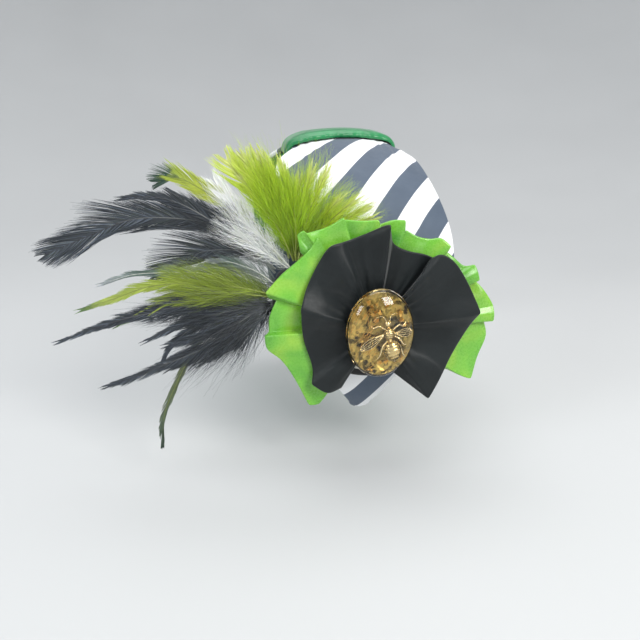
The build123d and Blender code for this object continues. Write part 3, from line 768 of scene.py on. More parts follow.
# Each feather, from the head outwards: points of its quill in front view, and its style.
# kind: outline of the vane; width: from edge to edge; fluff: share with loose down; angle: of
# the barbs to the quill, near its foot and near its tip; pitch: between barbs; loose: how far
# the barbs stray; arch: lift of the middle towards the front, all in mm; gaps: how far clumps of
# barbs part; tuft: more feathers of the same bunch, each turned about the foot in degrees,
# scaled and set forward in mm.
FEATHERS = {
    "slate_plume_long": dict(
        kind="plume", width=27, pitch=0.22, fluff=0.26, loose=0.9, arch=3,
        angle=(42, 16), gaps=0.4, tuft=[(3, 0.50, -0.4)],
        points=[(-42, -52), (-54, -38), (-68, -30), (-84, -27), (-103, -28), (-123, -36),
                (-145, -46)]),
    "slate_plume_upper": dict(
        kind="hackle", width=22, pitch=0.22, fluff=0.30, loose=1.0, arch=4,
        angle=(36, 14), gaps=0.6, tuft=[(-9, 0.6, 0.4)],
        points=[(-42, -50), (-57, -37), (-70, -27), (-83, -20), (-95, -18), (-106, -19)]),
    "slate_spike_upper": dict(
        kind="hackle", width=9, pitch=0.22, fluff=0.2, loose=0.5, arch=5,
        angle=(26, 10), gaps=1.0, tuft=[],
        points=[(-41, -47), (-48, -39), (-61, -29), (-70, -23), (-78, -19), (-86, -15)]),
    "lime_dark_tipped": dict(
        kind="plume", width=14, pitch=0.20, fluff=0.25, loose=0.9, arch=3,
        angle=(36, 20), gaps=0.5, tuft=[],
        points=[(-39, -47), (-47, -35), (-57, -25), (-67, -18), (-75, -13), (-82, -10),
                (-90, -12)]),
    "lime_blunt": dict(
        kind="plume", width=19, pitch=0.20, fluff=0.4, loose=1.0, arch=2,
        angle=(40, 26), gaps=1.0, tuft=[(-9, 0.93, 0.5)],
        points=[(-36, -45), (-39, -33), (-47, -20), (-55, -11), (-61, -3)]),
    "lime_hackle_left": dict(
        kind="hackle", width=24, pitch=0.20, fluff=0.75, loose=1.8, arch=2,
        angle=(30, 14), gaps=1.0, tuft=[(-7, 0.95, 0.6), (6, 0.85, 1.0)],
        points=[(-34, -46), (-40, -28), (-47, -14), (-55, -1)]),
    "lime_hackle_mid": dict(
        kind="hackle", width=24, pitch=0.20, fluff=0.8, loose=1.8, arch=3,
        angle=(28, 14), gaps=1.0, tuft=[(-8, 0.92, 0.5), (7, 0.96, -0.6), (13, 0.8, -1.2)],
        points=[(-33, -46), (-36, -28), (-40, -15), (-46, -1)]),
    "lime_hackle_upright": dict(
        kind="hackle", width=26, pitch=0.16, fluff=0.9, loose=2.2, arch=-1,
        angle=(30, 15), gaps=1.0, tuft=[(-9, 1.02, 0.4), (8, 0.88, -0.8), (15, 0.8, -1.5)],
        points=[(-32, -46), (-31, -30), (-29, -19), (-26, -8)]),
    "lime_hackle_right": dict(
        kind="hackle", width=26, pitch=0.16, fluff=0.9, loose=2.2, arch=-3,
        angle=(30, 15), gaps=1.0, tuft=[(-10, 1.08, -0.8), (9, 0.92, -1.5), (-18, 1.05, 0.4)],
        points=[(-32, -46), (-24, -36), (-16, -28), (-8, -21)]),
    "white_quill": dict(
        kind="plume", width=18, pitch=0.20, fluff=0.8, loose=1.6, arch=2,
        angle=(26, 12), gaps=1.0, tuft=[(12, 0.72, 0.6)],
        points=[(-34, -51), (-43, -40), (-52, -31), (-60, -21), (-65, -14)]),
    "silver_green_left": dict(
        kind="hackle", width=20, pitch=0.24, fluff=0.45, loose=1.5, arch=-3,
        angle=(30, 10), gaps=0.8, tuft=[(-14, 0.5, 0.4), (-24, 0.42, 0.8)],
        points=[(-38, -60), (-58, -54), (-75, -51), (-89, -51), (-104, -52), (-117, -56)]),
    "lime_plume_lower": dict(
        kind="hackle", width=25, pitch=0.18, fluff=0.40, loose=1.2, arch=3,
        angle=(36, 13), gaps=0.6, tuft=[(-4, 0.62, 0.5), (5, 0.82, 0.9)],
        points=[(-38, -62), (-54, -58), (-67, -55), (-81, -54), (-97, -56), (-112, -62),
                (-129, -69)]),
    "slate_plume_lower": dict(
        kind="hackle", width=25, pitch=0.20, fluff=0.42, loose=1.5, arch=2,
        angle=(32, 10), gaps=0.5, tuft=[(-3, 0.78, 0.5), (4, 0.6, 0.9)],
        points=[(-38, -64), (-58, -64), (-75, -65), (-90, -67), (-105, -70), (-121, -76),
                (-141, -85)]),
    "slate_fan_low": dict(
        kind="hackle", width=27, pitch=0.18, fluff=0.45, loose=1.6, arch=3,
        angle=(36, 11), gaps=0.6, tuft=[(4, 0.66, 0.5), (10, 0.5, 0.9), (-6, 0.6, 1.2)],
        points=[(-38, -62), (-54, -69), (-64, -76), (-76, -84), (-91, -91), (-107, -99),
                (-120, -105)]),
    "slate_short_low": dict(
        kind="hackle", width=16, pitch=0.22, fluff=0.35, loose=1.4, arch=1,
        angle=(28, 12), gaps=0.7, tuft=[],
        points=[(-40, -65), (-62, -69), (-78, -74), (-88, -82), (-95, -93)]),
    "olive_hanging": dict(
        kind="plume", width=7, pitch=0.26, fluff=0.15, loose=0.7, arch=1,
        angle=(24, 8), gaps=1.0, tuft=[],
        points=[(-41, -66), (-57, -68), (-70, -74), (-80, -86), (-89, -103), (-95, -118),
                (-97, -133)]),
}


def quill_line(points, order, arch):
    """The quill's line over its curved sheet, lifted towards the front by its arch."""
    flat = smooth_curve(points, LINE_STEPS)
    radius = SHEET_RADIUS + order * FEATHER_STEP
    axis_y = SHEET_RADIUS - FEATHER_FIRST
    y = axis_y - np.sqrt(radius**2 - (flat[:, 0] - SHEET_AXIS_X) ** 2)
    t = np.linspace(0, 1, LINE_STEPS)
    y = y - arch * np.sin(math.pi * t) ** 1.2
    return np.stack([flat[:, 0], y, flat[:, 1]], 1)


def frames_along(line):
    """Direction, side and facing vectors along a quill."""
    along = np.gradient(line, axis=0)
    along /= np.linalg.norm(along, axis=1, keepdims=True)
    facing = np.array([0.0, -1.0, 0.0]) - along * (-along[:, 1:2])
    facing /= np.linalg.norm(facing, axis=1, keepdims=True)
    side = np.cross(facing, along)
    return along, side, facing


def vane_shape(t, kind):
    """Width of the vane along the feather, from 0 to 1: a broad plume or a pointed hackle."""
    if kind == "plume":
        return 0.35 + 0.65 * smoothstep(0.0, 0.35, t) * (1 - smoothstep(0.72, 1.08, t) * 0.7)
    rise = 0.55 + 0.45 * smoothstep(0.0, 0.16, t)
    return rise * (1 - 0.62 * smoothstep(0.22, 0.62, t)) * (1 - 0.55 * smoothstep(0.6, 1.0, t))


def sample(values, t):
    """Rows of a path at parameters from 0 to 1."""
    place = np.clip(t, 0, 1) * (len(values) - 1)
    low = np.minimum(place.astype(int), len(values) - 2)
    f = (place - low)[..., None]
    return values[low] * (1 - f) + values[low + 1] * f


def barb_ribbons(line, style, source):
    """All barbs of one feather: vertices, quads, and the tone and place of each vertex."""
    along, side, facing = frames_along(line)
    length = float(np.linalg.norm(np.diff(line, axis=0), axis=1).sum())
    verts, faces, uvs = [], [], []
    s = np.linspace(0, 1, BARB_STEPS + 1)
    total = 0
    for sign in (-1, 1):
        count = int(length * 0.93 / style["pitch"])
        base = np.linspace(0.06, 0.997, count) + source.normal(0, 0.15 / count, count)
        base = np.clip(base, 0.0, 0.999)
        clump = np.cumsum(source.random(count) < 0.09)
        clump_turn = source.normal(0, style["gaps"], clump[-1] + 1)[clump]
        clump_lift = source.normal(0, style["gaps"], clump[-1] + 1)[clump]
        clump_long = source.normal(0, 1, clump[-1] + 1)[clump]
        down = 1 - smoothstep(style["fluff"] * 0.55, style["fluff"] + 0.12, base)
        loose = style["loose"] * (0.25 + 0.75 * down)
        first, last = (math.radians(a) for a in style["angle"])
        angle = first + (last - first) * base ** 0.8
        angle = angle + math.radians(4) * clump_turn + source.normal(0, 0.05, count) * (0.4 + down)
        angle = angle + down * source.normal(0, 0.16, count)
        reach = style["width"] / 2 * vane_shape(base, style["kind"])
        reach = reach * (1 + 0.10 * clump_long + 0.08 * source.normal(0, 1, count))
        reach = reach / np.maximum(np.sin(angle + 0.20), 0.22)
        reach = np.minimum(reach, style["width"] * 1.45)
        reach = np.maximum(reach, 1.0) * (1 + 0.25 * down * source.random(count))
        end_room = (1.0 - base) * length + style["width"] * 0.22
        reach = np.minimum(reach, np.maximum(end_room, 2.0) * (1 + 0.1 * source.random(count)))
        point = sample(line, base)
        t_dir, s_dir, n_dir = sample(along, base), sample(side, base) * sign, sample(facing, base)
        curl = 0.30 + 0.12 * clump_turn * 0.5
        lift = 0.05 * clump_lift * style["width"] / 14 + 0.05 * source.normal(0, 1, count)
        waves = source.uniform(0, 6.28, (count, 3))
        pace = source.uniform(4.0, 9.0, (count, 3))
        rows = []
        for value in s:
            bend = angle * (1 - curl * value)
            ahead = reach * value * np.cos(bend)
            aside = reach * value * np.sin(bend)
            droop = lift * reach * value**1.5
            stray = loose * value * down
            swing = [stray * np.sin(waves[:, k] + pace[:, k] * value) for k in range(3)]
            rows.append(point + t_dir * (ahead + swing[0])[:, None]
                        + s_dir * (aside + swing[1])[:, None]
                        + n_dir * (droop + 1.3 * swing[2])[:, None])
        spine = np.stack(rows, 1)
        direction = np.gradient(spine, axis=1)
        direction /= np.maximum(np.linalg.norm(direction, axis=2, keepdims=True), 1e-9)
        roll = source.normal(0, 0.30, count) + down * source.normal(0, 0.8, count)
        flat = np.cross(n_dir[:, None, :], direction)
        flat /= np.maximum(np.linalg.norm(flat, axis=2, keepdims=True), 1e-9)
        up = np.cross(direction, flat)
        across = flat * np.cos(roll)[:, None, None] + up * np.sin(roll)[:, None, None]
        firm = style["pitch"] * (0.62 + 0.25 * source.random(count))
        loose_half = 0.055 + 0.03 * source.random(count)
        half = np.where(down > 0.5, loose_half, firm * (1 - down) + loose_half * down)
        taper = (1 - 0.82 * s**1.5)[None, :, None]
        wing = across * half[:, None, None] * taper
        pair = np.stack([spine - wing, spine + wing], 2)
        flat_verts = pair.reshape(-1, 3)
        verts.append(flat_verts)
        per = 2 * (BARB_STEPS + 1)
        start = total + np.arange(count)[:, None] * per
        step = np.arange(BARB_STEPS)[None, :] * 2
        a = start + step
        quads = np.stack([a, a + 1, a + 3, a + 2], 2).reshape(-1, 4)
        faces.append(quads)
        tone = np.repeat(source.random(count) * 0.6 + 0.4 * (clump_turn * 0.15 + 0.5), per)
        u = np.repeat(base, per) + np.tile(np.repeat(s, 2), count) * 0.06
        uvs.append(np.stack([u, tone], 1))
        total += count * per
    return keep_clear(np.vstack(verts)), np.vstack(faces), np.vstack(uvs)


ROSETTE_INNER, ROSETTE_OUTER = 52, 60
CLOTH_REACH = -48            # the hat's cloth is to the right of this x


def keep_clear(points):
    """Feather points held behind the rosette and off the hat's cloth."""
    x, y, z = points.T.copy()
    near = smoothstep(ROSETTE_OUTER, ROSETTE_INNER, np.hypot(x - ROSETTE_X, z - ROSETTE_Z))
    front = -(LIME_FOOT - 0.7)
    y = np.where((near > 0) & (y < front), front + (y - front) * (1 - near), y)
    form = HEAD_RADIUS * np.sqrt(np.maximum(1 - (x / HEAD_HALF_LENGTH) ** 2, 0.05))
    least = form + COVER_TOP + 0.8
    far = np.hypot(y, z + HEAD_RADIUS)
    push = np.where((far < least) & (x > CLOTH_REACH), least / np.maximum(far, 1), 1.0)
    return np.stack([x, y * push, (z + HEAD_RADIUS) * push - HEAD_RADIUS], 1)


def quill_tube(line, thick):
    """The rachis: a tube tapering from its foot to the tip."""
    _, side, facing = frames_along(line)
    t = np.linspace(0, 1, len(line))
    radius = thick * (1 - 0.86 * t**0.8)
    turn = np.linspace(0, 2 * math.pi, QUILL_SIDES, endpoint=False)[None, :, None]
    ring = (side[:, None] * np.cos(turn) + facing[:, None] * np.sin(turn) * 0.8)
    points = line[:, None] + ring * radius[:, None, None]
    faces = grid_faces(len(line), QUILL_SIDES, wrap_cols=True)
    uv = np.stack([np.repeat(t, QUILL_SIDES), np.full(len(line) * QUILL_SIDES, 0.5)], 1)
    return keep_clear(points.reshape(-1, 3)), faces, uv


def feather_material(name, stops, dark_edge=0.5, streak=1.15):
    """Barbs whose colour runs along the feather, and varies from barb to barb."""
    s = Shader(name)
    parts = s.split(s.add("UVMap", uv_map="barb").outputs[0])
    cloud = s.noise(s.place(), 140.0, 3, 0.6, 0.8)
    base = s.ramp(s.math("ADD", parts[0], s.around_zero(cloud, 0.22)), stops)
    shade = s.ramp(parts[1], [(0.1, grey(dark_edge)), (0.62, grey(1.1)),
                                      (0.78, grey(streak))])
    colour = s.mix(1.0, base, shade, "MULTIPLY")
    return s.set(Base_Color=colour, Roughness=0.5, Sheen_Weight=0.3, Sheen_Roughness=0.3,
                 Specular_IOR_Level=0.45, Subsurface_Weight=0.25,
                 Subsurface_Radius=(0.6 * MM, 0.7 * MM, 0.3 * MM), Subsurface_Scale=1.0)


def quill_material(name, foot, tip):
    """Horny rachis, paler at its foot."""
    s = Shader(name)
    parts = s.split(s.add("UVMap", uv_map="barb").outputs[0])
    fine = s.noise(s.place(), 1500.0, 3)
    base = s.ramp(parts[0], [(0.0, foot), (0.8, tip)])
    colour = s.mix(0.25, base, s.ramp(fine, [(0.3, grey(0.2)), (0.7, grey(0.9))]),
                   "OVERLAY")
    return s.set(Base_Color=colour, Roughness=0.35, Specular_IOR_Level=0.6)


SLATE = feather_material("slate_barbs", [(0.05, (0.05, 0.055, 0.055)),
                                         (0.25, (0.030, 0.036, 0.042)),
                                         (0.6, (0.026, 0.032, 0.040)),
                                         (0.95, (0.045, 0.055, 0.068))], streak=3.6)
LIME = feather_material("lime_barbs", [(0.0, (0.16, 0.26, 0.02)), (0.25, (0.34, 0.55, 0.015)),
                                       (0.55, (0.52, 0.70, 0.03)), (0.8, (0.62, 0.74, 0.10)),
                                       (1.0, (0.66, 0.72, 0.24))], dark_edge=0.62)
LIME_TIPPED = feather_material("lime_dark_barbs", [(0.0, (0.30, 0.36, 0.04)),
                                                   (0.55, (0.44, 0.52, 0.05)),
                                                   (0.78, (0.40, 0.50, 0.06)),
                                                   (0.86, (0.035, 0.09, 0.05)),
                                                   (1.0, (0.02, 0.05, 0.035))])
LIME_OLIVE = feather_material("lime_olive_barbs", [(0.0, (0.10, 0.15, 0.03)),
                                                   (0.25, (0.24, 0.33, 0.03)),
                                                   (0.6, (0.34, 0.44, 0.05)),
                                                   (0.88, (0.42, 0.52, 0.10)),
                                                   (1.0, (0.12, 0.22, 0.07))])
WHITE = feather_material("white_barbs", [(0.0, (0.40, 0.44, 0.40)), (0.3, (0.74, 0.76, 0.74)),
                                         (1.0, (0.86, 0.88, 0.82))], dark_edge=0.8)
SILVER = feather_material("silver_barbs", [(0.0, (0.16, 0.20, 0.17)), (0.45, (0.26, 0.31, 0.28)),
                                           (0.7, (0.10, 0.16, 0.13)), (1.0, (0.34, 0.38, 0.38))])
OLIVE = feather_material("olive_barbs", [(0.0, (0.05, 0.06, 0.04)), (0.5, (0.14, 0.17, 0.07)),
                                         (0.8, (0.10, 0.14, 0.08)), (1.0, (0.04, 0.07, 0.05))])
DARK_QUILL = quill_material("dark_quill", (0.30, 0.32, 0.30), (0.02, 0.02, 0.025))
LIME_QUILL = quill_material("lime_quill", (0.34, 0.40, 0.08), (0.16, 0.20, 0.03))
PALE_QUILL = quill_material("pale_quill", (0.80, 0.82, 0.74), (0.62, 0.64, 0.58))

FEATHER_LOOKS = {
    "slate": (SLATE, DARK_QUILL, "slate_feather"),
    "lime": (LIME, LIME_QUILL, "lime_feather"),
    "white": (WHITE, PALE_QUILL, "pale_feather"),
    "silver": (SILVER, PALE_QUILL, "pale_feather"),
    "olive": (OLIVE, LIME_QUILL, "olive_feather"),
}
SPECIAL_BARBS = {"lime_dark_tipped": LIME_TIPPED, "lime_plume_lower": LIME_OLIVE}


def bunch(style):
    """Quill points of every feather in a bunch, with how far each is set forward."""
    points = np.asarray(style["points"], float)
    yield points, 0.0
    for degrees, scale, forward in style["tuft"]:
        turn = math.radians(degrees)
        arm = (points - points[0]) * scale
        yield points[0] + np.stack([arm[:, 0] * math.cos(turn) - arm[:, 1] * math.sin(turn),
                                    arm[:, 0] * math.sin(turn) + arm[:, 1] * math.cos(turn)],
                                   1), forward


def make_feather(order, name, style):
    """A bunch of feathers of one kind: their quills and every barb."""
    source = np.random.default_rng(100 + order)
    verts, faces, uvs, kinds, first = [], [], [], [], 0
    for points, forward in bunch(style):
        line = quill_line(points, order, style["arch"])
        line[:, 1] -= forward
        thick = (0.40 if forward == 0 else 0.28) + 0.004 * style["width"]
        for kind, part in enumerate((barb_ribbons(line, style, source),
                                     quill_tube(line, thick))):
            part_verts, part_faces, part_uvs = part
            verts.append(part_verts)
            faces.append(np.asarray(part_faces) + first)
            uvs.append(part_uvs)
            kinds.append(np.full(len(part_faces), kind))
            first += len(part_verts)
    obj = new_object(f"feather_{name}_barbs", mm(np.vstack(verts)), np.vstack(faces).tolist())
    layer = obj.data.uv_layers.new(name="barb")
    index = np.zeros(len(obj.data.loops), int)
    obj.data.loops.foreach_get("vertex_index", index)
    layer.data.foreach_set("uv", np.vstack(uvs)[index].ravel())
    barbs, quill, slot = FEATHER_LOOKS[name.split("_")[0]]
    finish_piece(obj, SPECIAL_BARBS.get(name, barbs), slot, f"feather_{name}")
    obj.data.materials.append(quill)
    obj.data.polygons.foreach_set("material_index", np.concatenate(kinds))
    return obj


# ---- medallion -------------------------------------------------------------------------------
MAGNIFY = 0.94               # the dome enlarges what lies under it


def medal(x, z, depth):
    """A point of the medallion from its centre, depth towards the front from its plate."""
    return np.array([ROSETTE_X + x, -(PLATE_FRONT + depth), ROSETTE_Z + z])


def oval_solid(name, node, profile, sides=128, wave=0.0):
    """An oval solid over a node's box: profile has (share of half size, share of depth)."""
    low, high = (np.array(corner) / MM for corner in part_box(node))
    centre, half = (low + high) / 2, (high - low) / 2
    turn = np.linspace(0, 2 * math.pi, sides, endpoint=False)
    rings = []
    for reach, depth in profile:
        ripple = 1 + wave * np.sin(turn * 9 + 1.0) * reach
        rings.append(np.stack([centre[0] + half[0] * reach * np.cos(turn) * ripple,
                               np.full(sides, high[1] - (high[1] - low[1]) * depth),
                               centre[2] + half[2] * reach * np.sin(turn) * ripple], 1))
    return weld(grid_object(name, np.asarray(rings), wrap_cols=True), 1e-6)


DISC_PROFILE = [(0, 0), (0.5, 0.0), (0.94, 0.0), (0.985, 0.15), (1, 0.5), (0.985, 0.85),
                (0.94, 1.0), (0.5, 1.0), (0, 1.0)]
DOME_PROFILE = ([(0, 0), (0.6, 0.0), (0.97, 0.0), (1.0, 0.03)]
                + [(math.cos(a), 0.06 + 0.94 * math.sin(a))
                   for a in np.linspace(0.02, math.pi / 2, 28)])


def capped(rings):
    """Vertices and quads of a skin over rings of points, both of its ends drawn together."""
    first, last = (np.repeat(ring.mean(0)[None], len(ring), 0) for ring in (rings[0], rings[-1]))
    skin = np.stack([first, *rings, last])
    return skin.reshape(-1, 3), grid_faces(*skin.shape[:2], wrap_cols=True)


def tube(points, radii, sides=10, count=None):
    """Vertices and quads of a round wire with closed, tapering ends."""
    line = smooth_curve(points, count or 6 * len(points))
    radii = np.interp(np.linspace(0, 1, len(line)), np.linspace(0, 1, len(radii)), radii)
    along = np.gradient(line, axis=0)
    along /= np.linalg.norm(along, axis=1, keepdims=True)
    side = np.cross(along, np.array([0.21, 0.93, 0.30]))
    side /= np.linalg.norm(side, axis=1, keepdims=True)
    up = np.cross(side, along)
    turn = np.linspace(0, 2 * math.pi, sides, endpoint=False)
    ring = side[:, None] * np.cos(turn)[None, :, None] + up[:, None] * np.sin(turn)[None, :, None]
    return capped(line[:, None] + ring * radii[:, None, None])


def lump(centre, radii, tilt=0.0, ridge=0.0, ridges=0, rings=40, sides=48, fur=0.0, seed=0):
    """Vertices and quads of an egg lying in the medallion, ridged across its length."""
    source = np.random.default_rng(seed)
    rise = np.linspace(0, math.pi, rings)
    turn = np.linspace(0, 2 * math.pi, sides, endpoint=False)
    swell = 1 + ridge * np.cos(rise * 2 * ridges)
    out = []
    for a, s in zip(rise, swell):
        rough = 1 + fur * source.normal(0, 1, sides) * math.sin(a)
        x = radii[0] * math.sin(a) * s * np.cos(turn) * rough
        z = np.full(sides, radii[2] * math.cos(a))
        d = radii[1] * math.sin(a) * s * np.sin(turn) * rough
        c, k = math.cos(tilt), math.sin(tilt)
        out.append(np.stack([centre[0] + x * c - z * k, -(d + centre[2]),
                             centre[1] + x * k + z * c], 1))
    return np.asarray(out).reshape(-1, 3), grid_faces(rings, sides, wrap_cols=True)


def wing(root, end, width, depth):
    """The web of a leaf-shaped wing, and its raised veins, as lists of vertices and faces."""
    root, end = np.asarray(root, float), np.asarray(end, float)
    run = end - root
    length = np.linalg.norm(run)
    run = run / length
    across = np.array([-run[1], run[0]])

    def place(share, side, lift):
        half = width / 2 * max(0.0, math.sin(math.pi * min(0.985, share * 0.97 + 0.015) ** 1.4))
        flat = root + run * share * length + across * side * half**0.8
        return flat[0], -(depth + 1.4 * share * (1 - share) + lift), flat[1]

    t, s = np.linspace(0, 1, 30), np.linspace(-1, 1, 15)
    front = np.array([[place(share, side, 0.1) for side in s] for share in t])
    back = front[:, ::-1] + np.array([0, 0.25, 0])
    web = capped(np.concatenate([front, back], 1))
    veins = [tube([place(share, side, 0.2) for share in np.linspace(0, 1, 9)], (0.2, 0.17, 0.15))
             for side in (-1.0, -0.45, 0.1, 0.55, 1.0)]
    veins += [tube([place(share, side, 0.2), place(share + 0.05, side + 0.5, 0.2)], (0.12, 0.12))
              for share, side in ((0.45, -1.0), (0.55, -0.45), (0.66, 0.1), (0.60, 0.5),
                                  (0.78, -0.95), (0.80, -0.3), (0.84, 0.3))]
    return web, veins


def joined(name, parts, place=None):
    """One object from several lists of vertices and faces."""
    verts, faces, first = [], [], 0
    for part_verts, part_faces in parts:
        verts.append(part_verts)
        faces += [tuple(v + first for v in face) for face in part_faces]
        first += len(part_verts)
    points = np.vstack(verts)
    if place is not None:
        points = points + place
    obj = weld(new_object(name, mm(points), faces), 1e-7)
    return obj


def scaled(points):
    """Places read through the dome, brought back to their true size."""
    return [tuple(np.asarray(p, float) / MAGNIFY) for p in points]


def make_bee():
    """Head, ribbed thorax, striped abdomen, two wings, legs and feelers, cast in one."""
    k = 1 / MAGNIFY
    parts = [
        lump((2.0 * k, 4.9 * k, 1.9), (1.5 * k, 1.2, 1.5 * k), 0.1, rings=28, sides=32),
        lump((1.2 * k, 5.5 * k, 2.2), (0.5, 0.6, 0.8), -0.4, rings=16, sides=20),
        lump((2.9 * k, 5.4 * k, 2.2), (0.5, 0.6, 0.8), 0.4, rings=16, sides=20),
        lump((2.7 * k, 0.9 * k, 1.9), (2.3 * k, 1.6, 2.6 * k), 0.1, 0.03, 9, 60, 56, 0.025, 4),
        lump((3.1 * k, -2.0 * k, 1.9), (1.0, 1.0, 0.9), 0.1, rings=20, sides=24),
        lump((4.2 * k, -6.1 * k, 1.9), (3.7 * k, 2.3, 4.6 * k), 0.27, 0.024, 8, 110, 72),
        lump((5.2 * k, -10.2 * k, 1.6), (0.7, 0.8, 1.0), 0.27, rings=16, sides=20),
    ]
    left, left_veins = wing((0.9 * k, 1.0 * k), (-8.4 * k, -5.6 * k), 4.4, 1.7)
    right, right_veins = wing((4.7 * k, 0.9 * k), (12.4 * k, 1.3 * k), 4.2, 1.6)
    parts += left_veins + right_veins
    legs = [
        [(1.4, 2.6), (-1.2, 4.2), (-3.2, 3.4), (-4.4, 4.3)],
        [(0.9, 0.4), (-1.8, 0.0), (-3.4, -2.2), (-4.8, -2.6)],
        [(1.9, -1.8), (0.2, -4.4), (-0.6, -8.0), (-1.8, -9.8)],
        [(4.2, 2.6), (6.4, 4.4), (8.0, 4.0), (9.4, 5.2)],
        [(4.8, 0.0), (7.0, -1.4), (8.6, -3.8), (10.0, -4.0)],
        [(4.4, -1.8), (7.0, -4.0), (8.6, -8.0), (9.6, -9.4)],
    ]
    for leg in legs:
        heights = (1.7, 2.0, 1.4, 0.7)
        points = [(x, -h, z) for (x, z), h in zip(scaled(leg), heights)]
        parts.append(tube(points, (0.46, 0.44, 0.38, 0.20)))
    for feeler in ([(1.5, 5.9), (0.2, 7.9), (-1.8, 7.7), (-3.1, 5.9)],
                   [(2.6, 6.0), (3.3, 8.2), (4.6, 9.0), (6.0, 8.6)]):
        points = [(x, -h, z) for (x, z), h in zip(scaled(feeler), (2.2, 1.9, 1.4, 0.8))]
        parts.append(tube(points, (0.22, 0.18, 0.16, 0.24)))
    obj = joined("bee", parts, medal(0, 0, 1.5))
    finish_piece(obj, BRASS, "antique_brass", "bee_charm")
    webs = joined("bee_wing_webs", [left, right], medal(0, 0, 1.5))
    finish_piece(webs, metal_material("tarnished_brass", (0.06, 0.045, 0.02), 0.35),
                 "antique_brass", "bee_charm")


LEAF_HALF_WIDTH, LEAF_HALF_HEIGHT = 13.2, 17.8
LEAF_CREASES = 46
FLAKE_COUNT = 80


def make_foil():
    """A crumpled leaf of metal foil across the medallion, under the bee."""
    rings, sides = 60, 160
    source = np.random.default_rng(17)
    turn = np.linspace(0, 2 * math.pi, sides, endpoint=False)
    share = np.linspace(0, 1, rings)
    x = LEAF_HALF_WIDTH * share[:, None] * np.cos(turn)[None]
    z = LEAF_HALF_HEIGHT * share[:, None] * np.sin(turn)[None]
    height = np.zeros_like(x)
    for _ in range(LEAF_CREASES):
        px, pz = source.uniform(-13, 13), source.uniform(-18, 18)
        a = source.uniform(0, math.pi)
        run = (x - px) * math.cos(a) + (z - pz) * math.sin(a)
        cross = -(x - px) * math.sin(a) + (z - pz) * math.cos(a)
        height += source.uniform(0.1, 0.32) * np.abs(np.tanh(run / 0.8)) * np.exp(-cross**2 / 9
                                                                                 - run**2 / 14)
    height = 0.15 + 0.9 * height / height.max()
    points = np.stack([ROSETTE_X + x, -(PLATE_FRONT + height), ROSETTE_Z + z], 2)
    obj = weld(grid_object("foil_leaf_gold", points, wrap_cols=True), 1e-6)
    thicken(obj, 0.05, -1)
    finish_piece(obj, FOIL, "gold_leaf", "foil_leaf")


def make_flakes():
    """Loose shreds and threads of foil round the bee."""
    source = np.random.default_rng(29)
    parts = []
    while len(parts) < FLAKE_COUNT:
        a, r = source.uniform(0, 2 * math.pi), source.uniform(0.25, 0.95)
        x, z = 12.8 * r * math.cos(a), 17.2 * r * math.sin(a)
        if math.hypot((x - 3.0) / 6.5, (z + 1.5) / 10.0) < 1:
            continue
        room = 6.4 * math.sqrt(max(0.0, 1 - (x / 14.2) ** 2 - (z / 19.0) ** 2))
        depth = source.uniform(1.1, max(1.2, room * 0.6))
        size = source.uniform(0.6, 1.5)
        turn, lean, bow = source.uniform(0, 6.28), source.uniform(-0.7, 0.7), source.uniform(-1, 1)
        chunk = 0.2 < a < 2.1 or 4.3 < a < 5.6
        if not chunk or len(parts) % 3 == 0:
            turn = source.normal(1.1, 0.35)
            ends = [(x + size * 2.6 * math.cos(turn) * t + 0.2 * math.sin(4 * t + a),
                     -depth - 0.3 * math.sin(3 * t), z + size * 2.6 * math.sin(turn) * t)
                    for t in (-1, -0.4, 0.2, 1)]
            parts.append(tube(ends, (0.03, 0.09, 0.08, 0.03), 7))
            continue
        grid = np.stack(np.meshgrid(np.linspace(-1, 1, 7), np.linspace(-1, 1, 7)), 2)
        ragged = 1 + 0.22 * source.normal(0, 1, grid.shape[:2])
        u = grid[:, :, 0] * size * 0.7 * ragged
        v = grid[:, :, 1] * size * 0.5 * ragged * (1 + 0.3 * grid[:, :, 0])
        curl = bow * 0.3 * (u / size) ** 2 * size + lean * v
        front = np.stack([x + u * math.cos(turn) - v * math.sin(turn), -depth - curl,
                          z + u * math.sin(turn) + v * math.cos(turn)], 2)
        parts.append(capped(np.concatenate([front, front[:, ::-1] + np.array([0, 0.05, 0])], 1)))
    obj = joined("foil_flakes_gold", parts, medal(0, 0, 0))
    finish_piece(obj, SHREDS, "gold_leaf", "foil_flakes")


def foil_material(name, stops, rough, painted_bee_shadow=False):
    """Foil in patches of several golds, crumpled, and with a painted shadow that darkens it round
    the place under the bee.
    """
    s = Shader(name)
    vector = s.place()
    cells = s.add("TexVoronoi", Scale=760.0)
    s.link(vector, cells.inputs["Vector"])
    cloud = s.noise(vector, 95.0, 4, 0.55, 1.8)
    colour = s.ramp(s.blend(cloud, 0.75, s.bw(cells.outputs["Color"]), 0.25), stops)
    # Painted shadow: the foil's colour is multiplied darker in an oval round the place under the
    # bee.
    if painted_bee_shadow:
        spot = s.add("Mapping", vector_type="TEXTURE")
        spot.inputs["Location"].default_value = (5.2 * MM, 0, (ROSETTE_Z - 1.0) * MM)
        spot.inputs["Scale"].default_value = (9.0 * MM, 1.0, 12.0 * MM)
        s.link(vector, spot.inputs["Vector"])
        reach = s.add("VectorMath", operation="LENGTH")
        s.link(spot.outputs[0], reach.inputs[0])
        shade = s.ramp(reach.outputs["Value"], [(0.35, grey(0.30)), (1.0, grey(1))])
        colour = s.mix(1.0, colour, shade, "MULTIPLY")
    bump = s.bump(cells.outputs["Distance"], 0.45, 0.25 * MM)
    return s.set(Base_Color=colour, Metallic=0.85, Roughness=rough, Normal=bump)


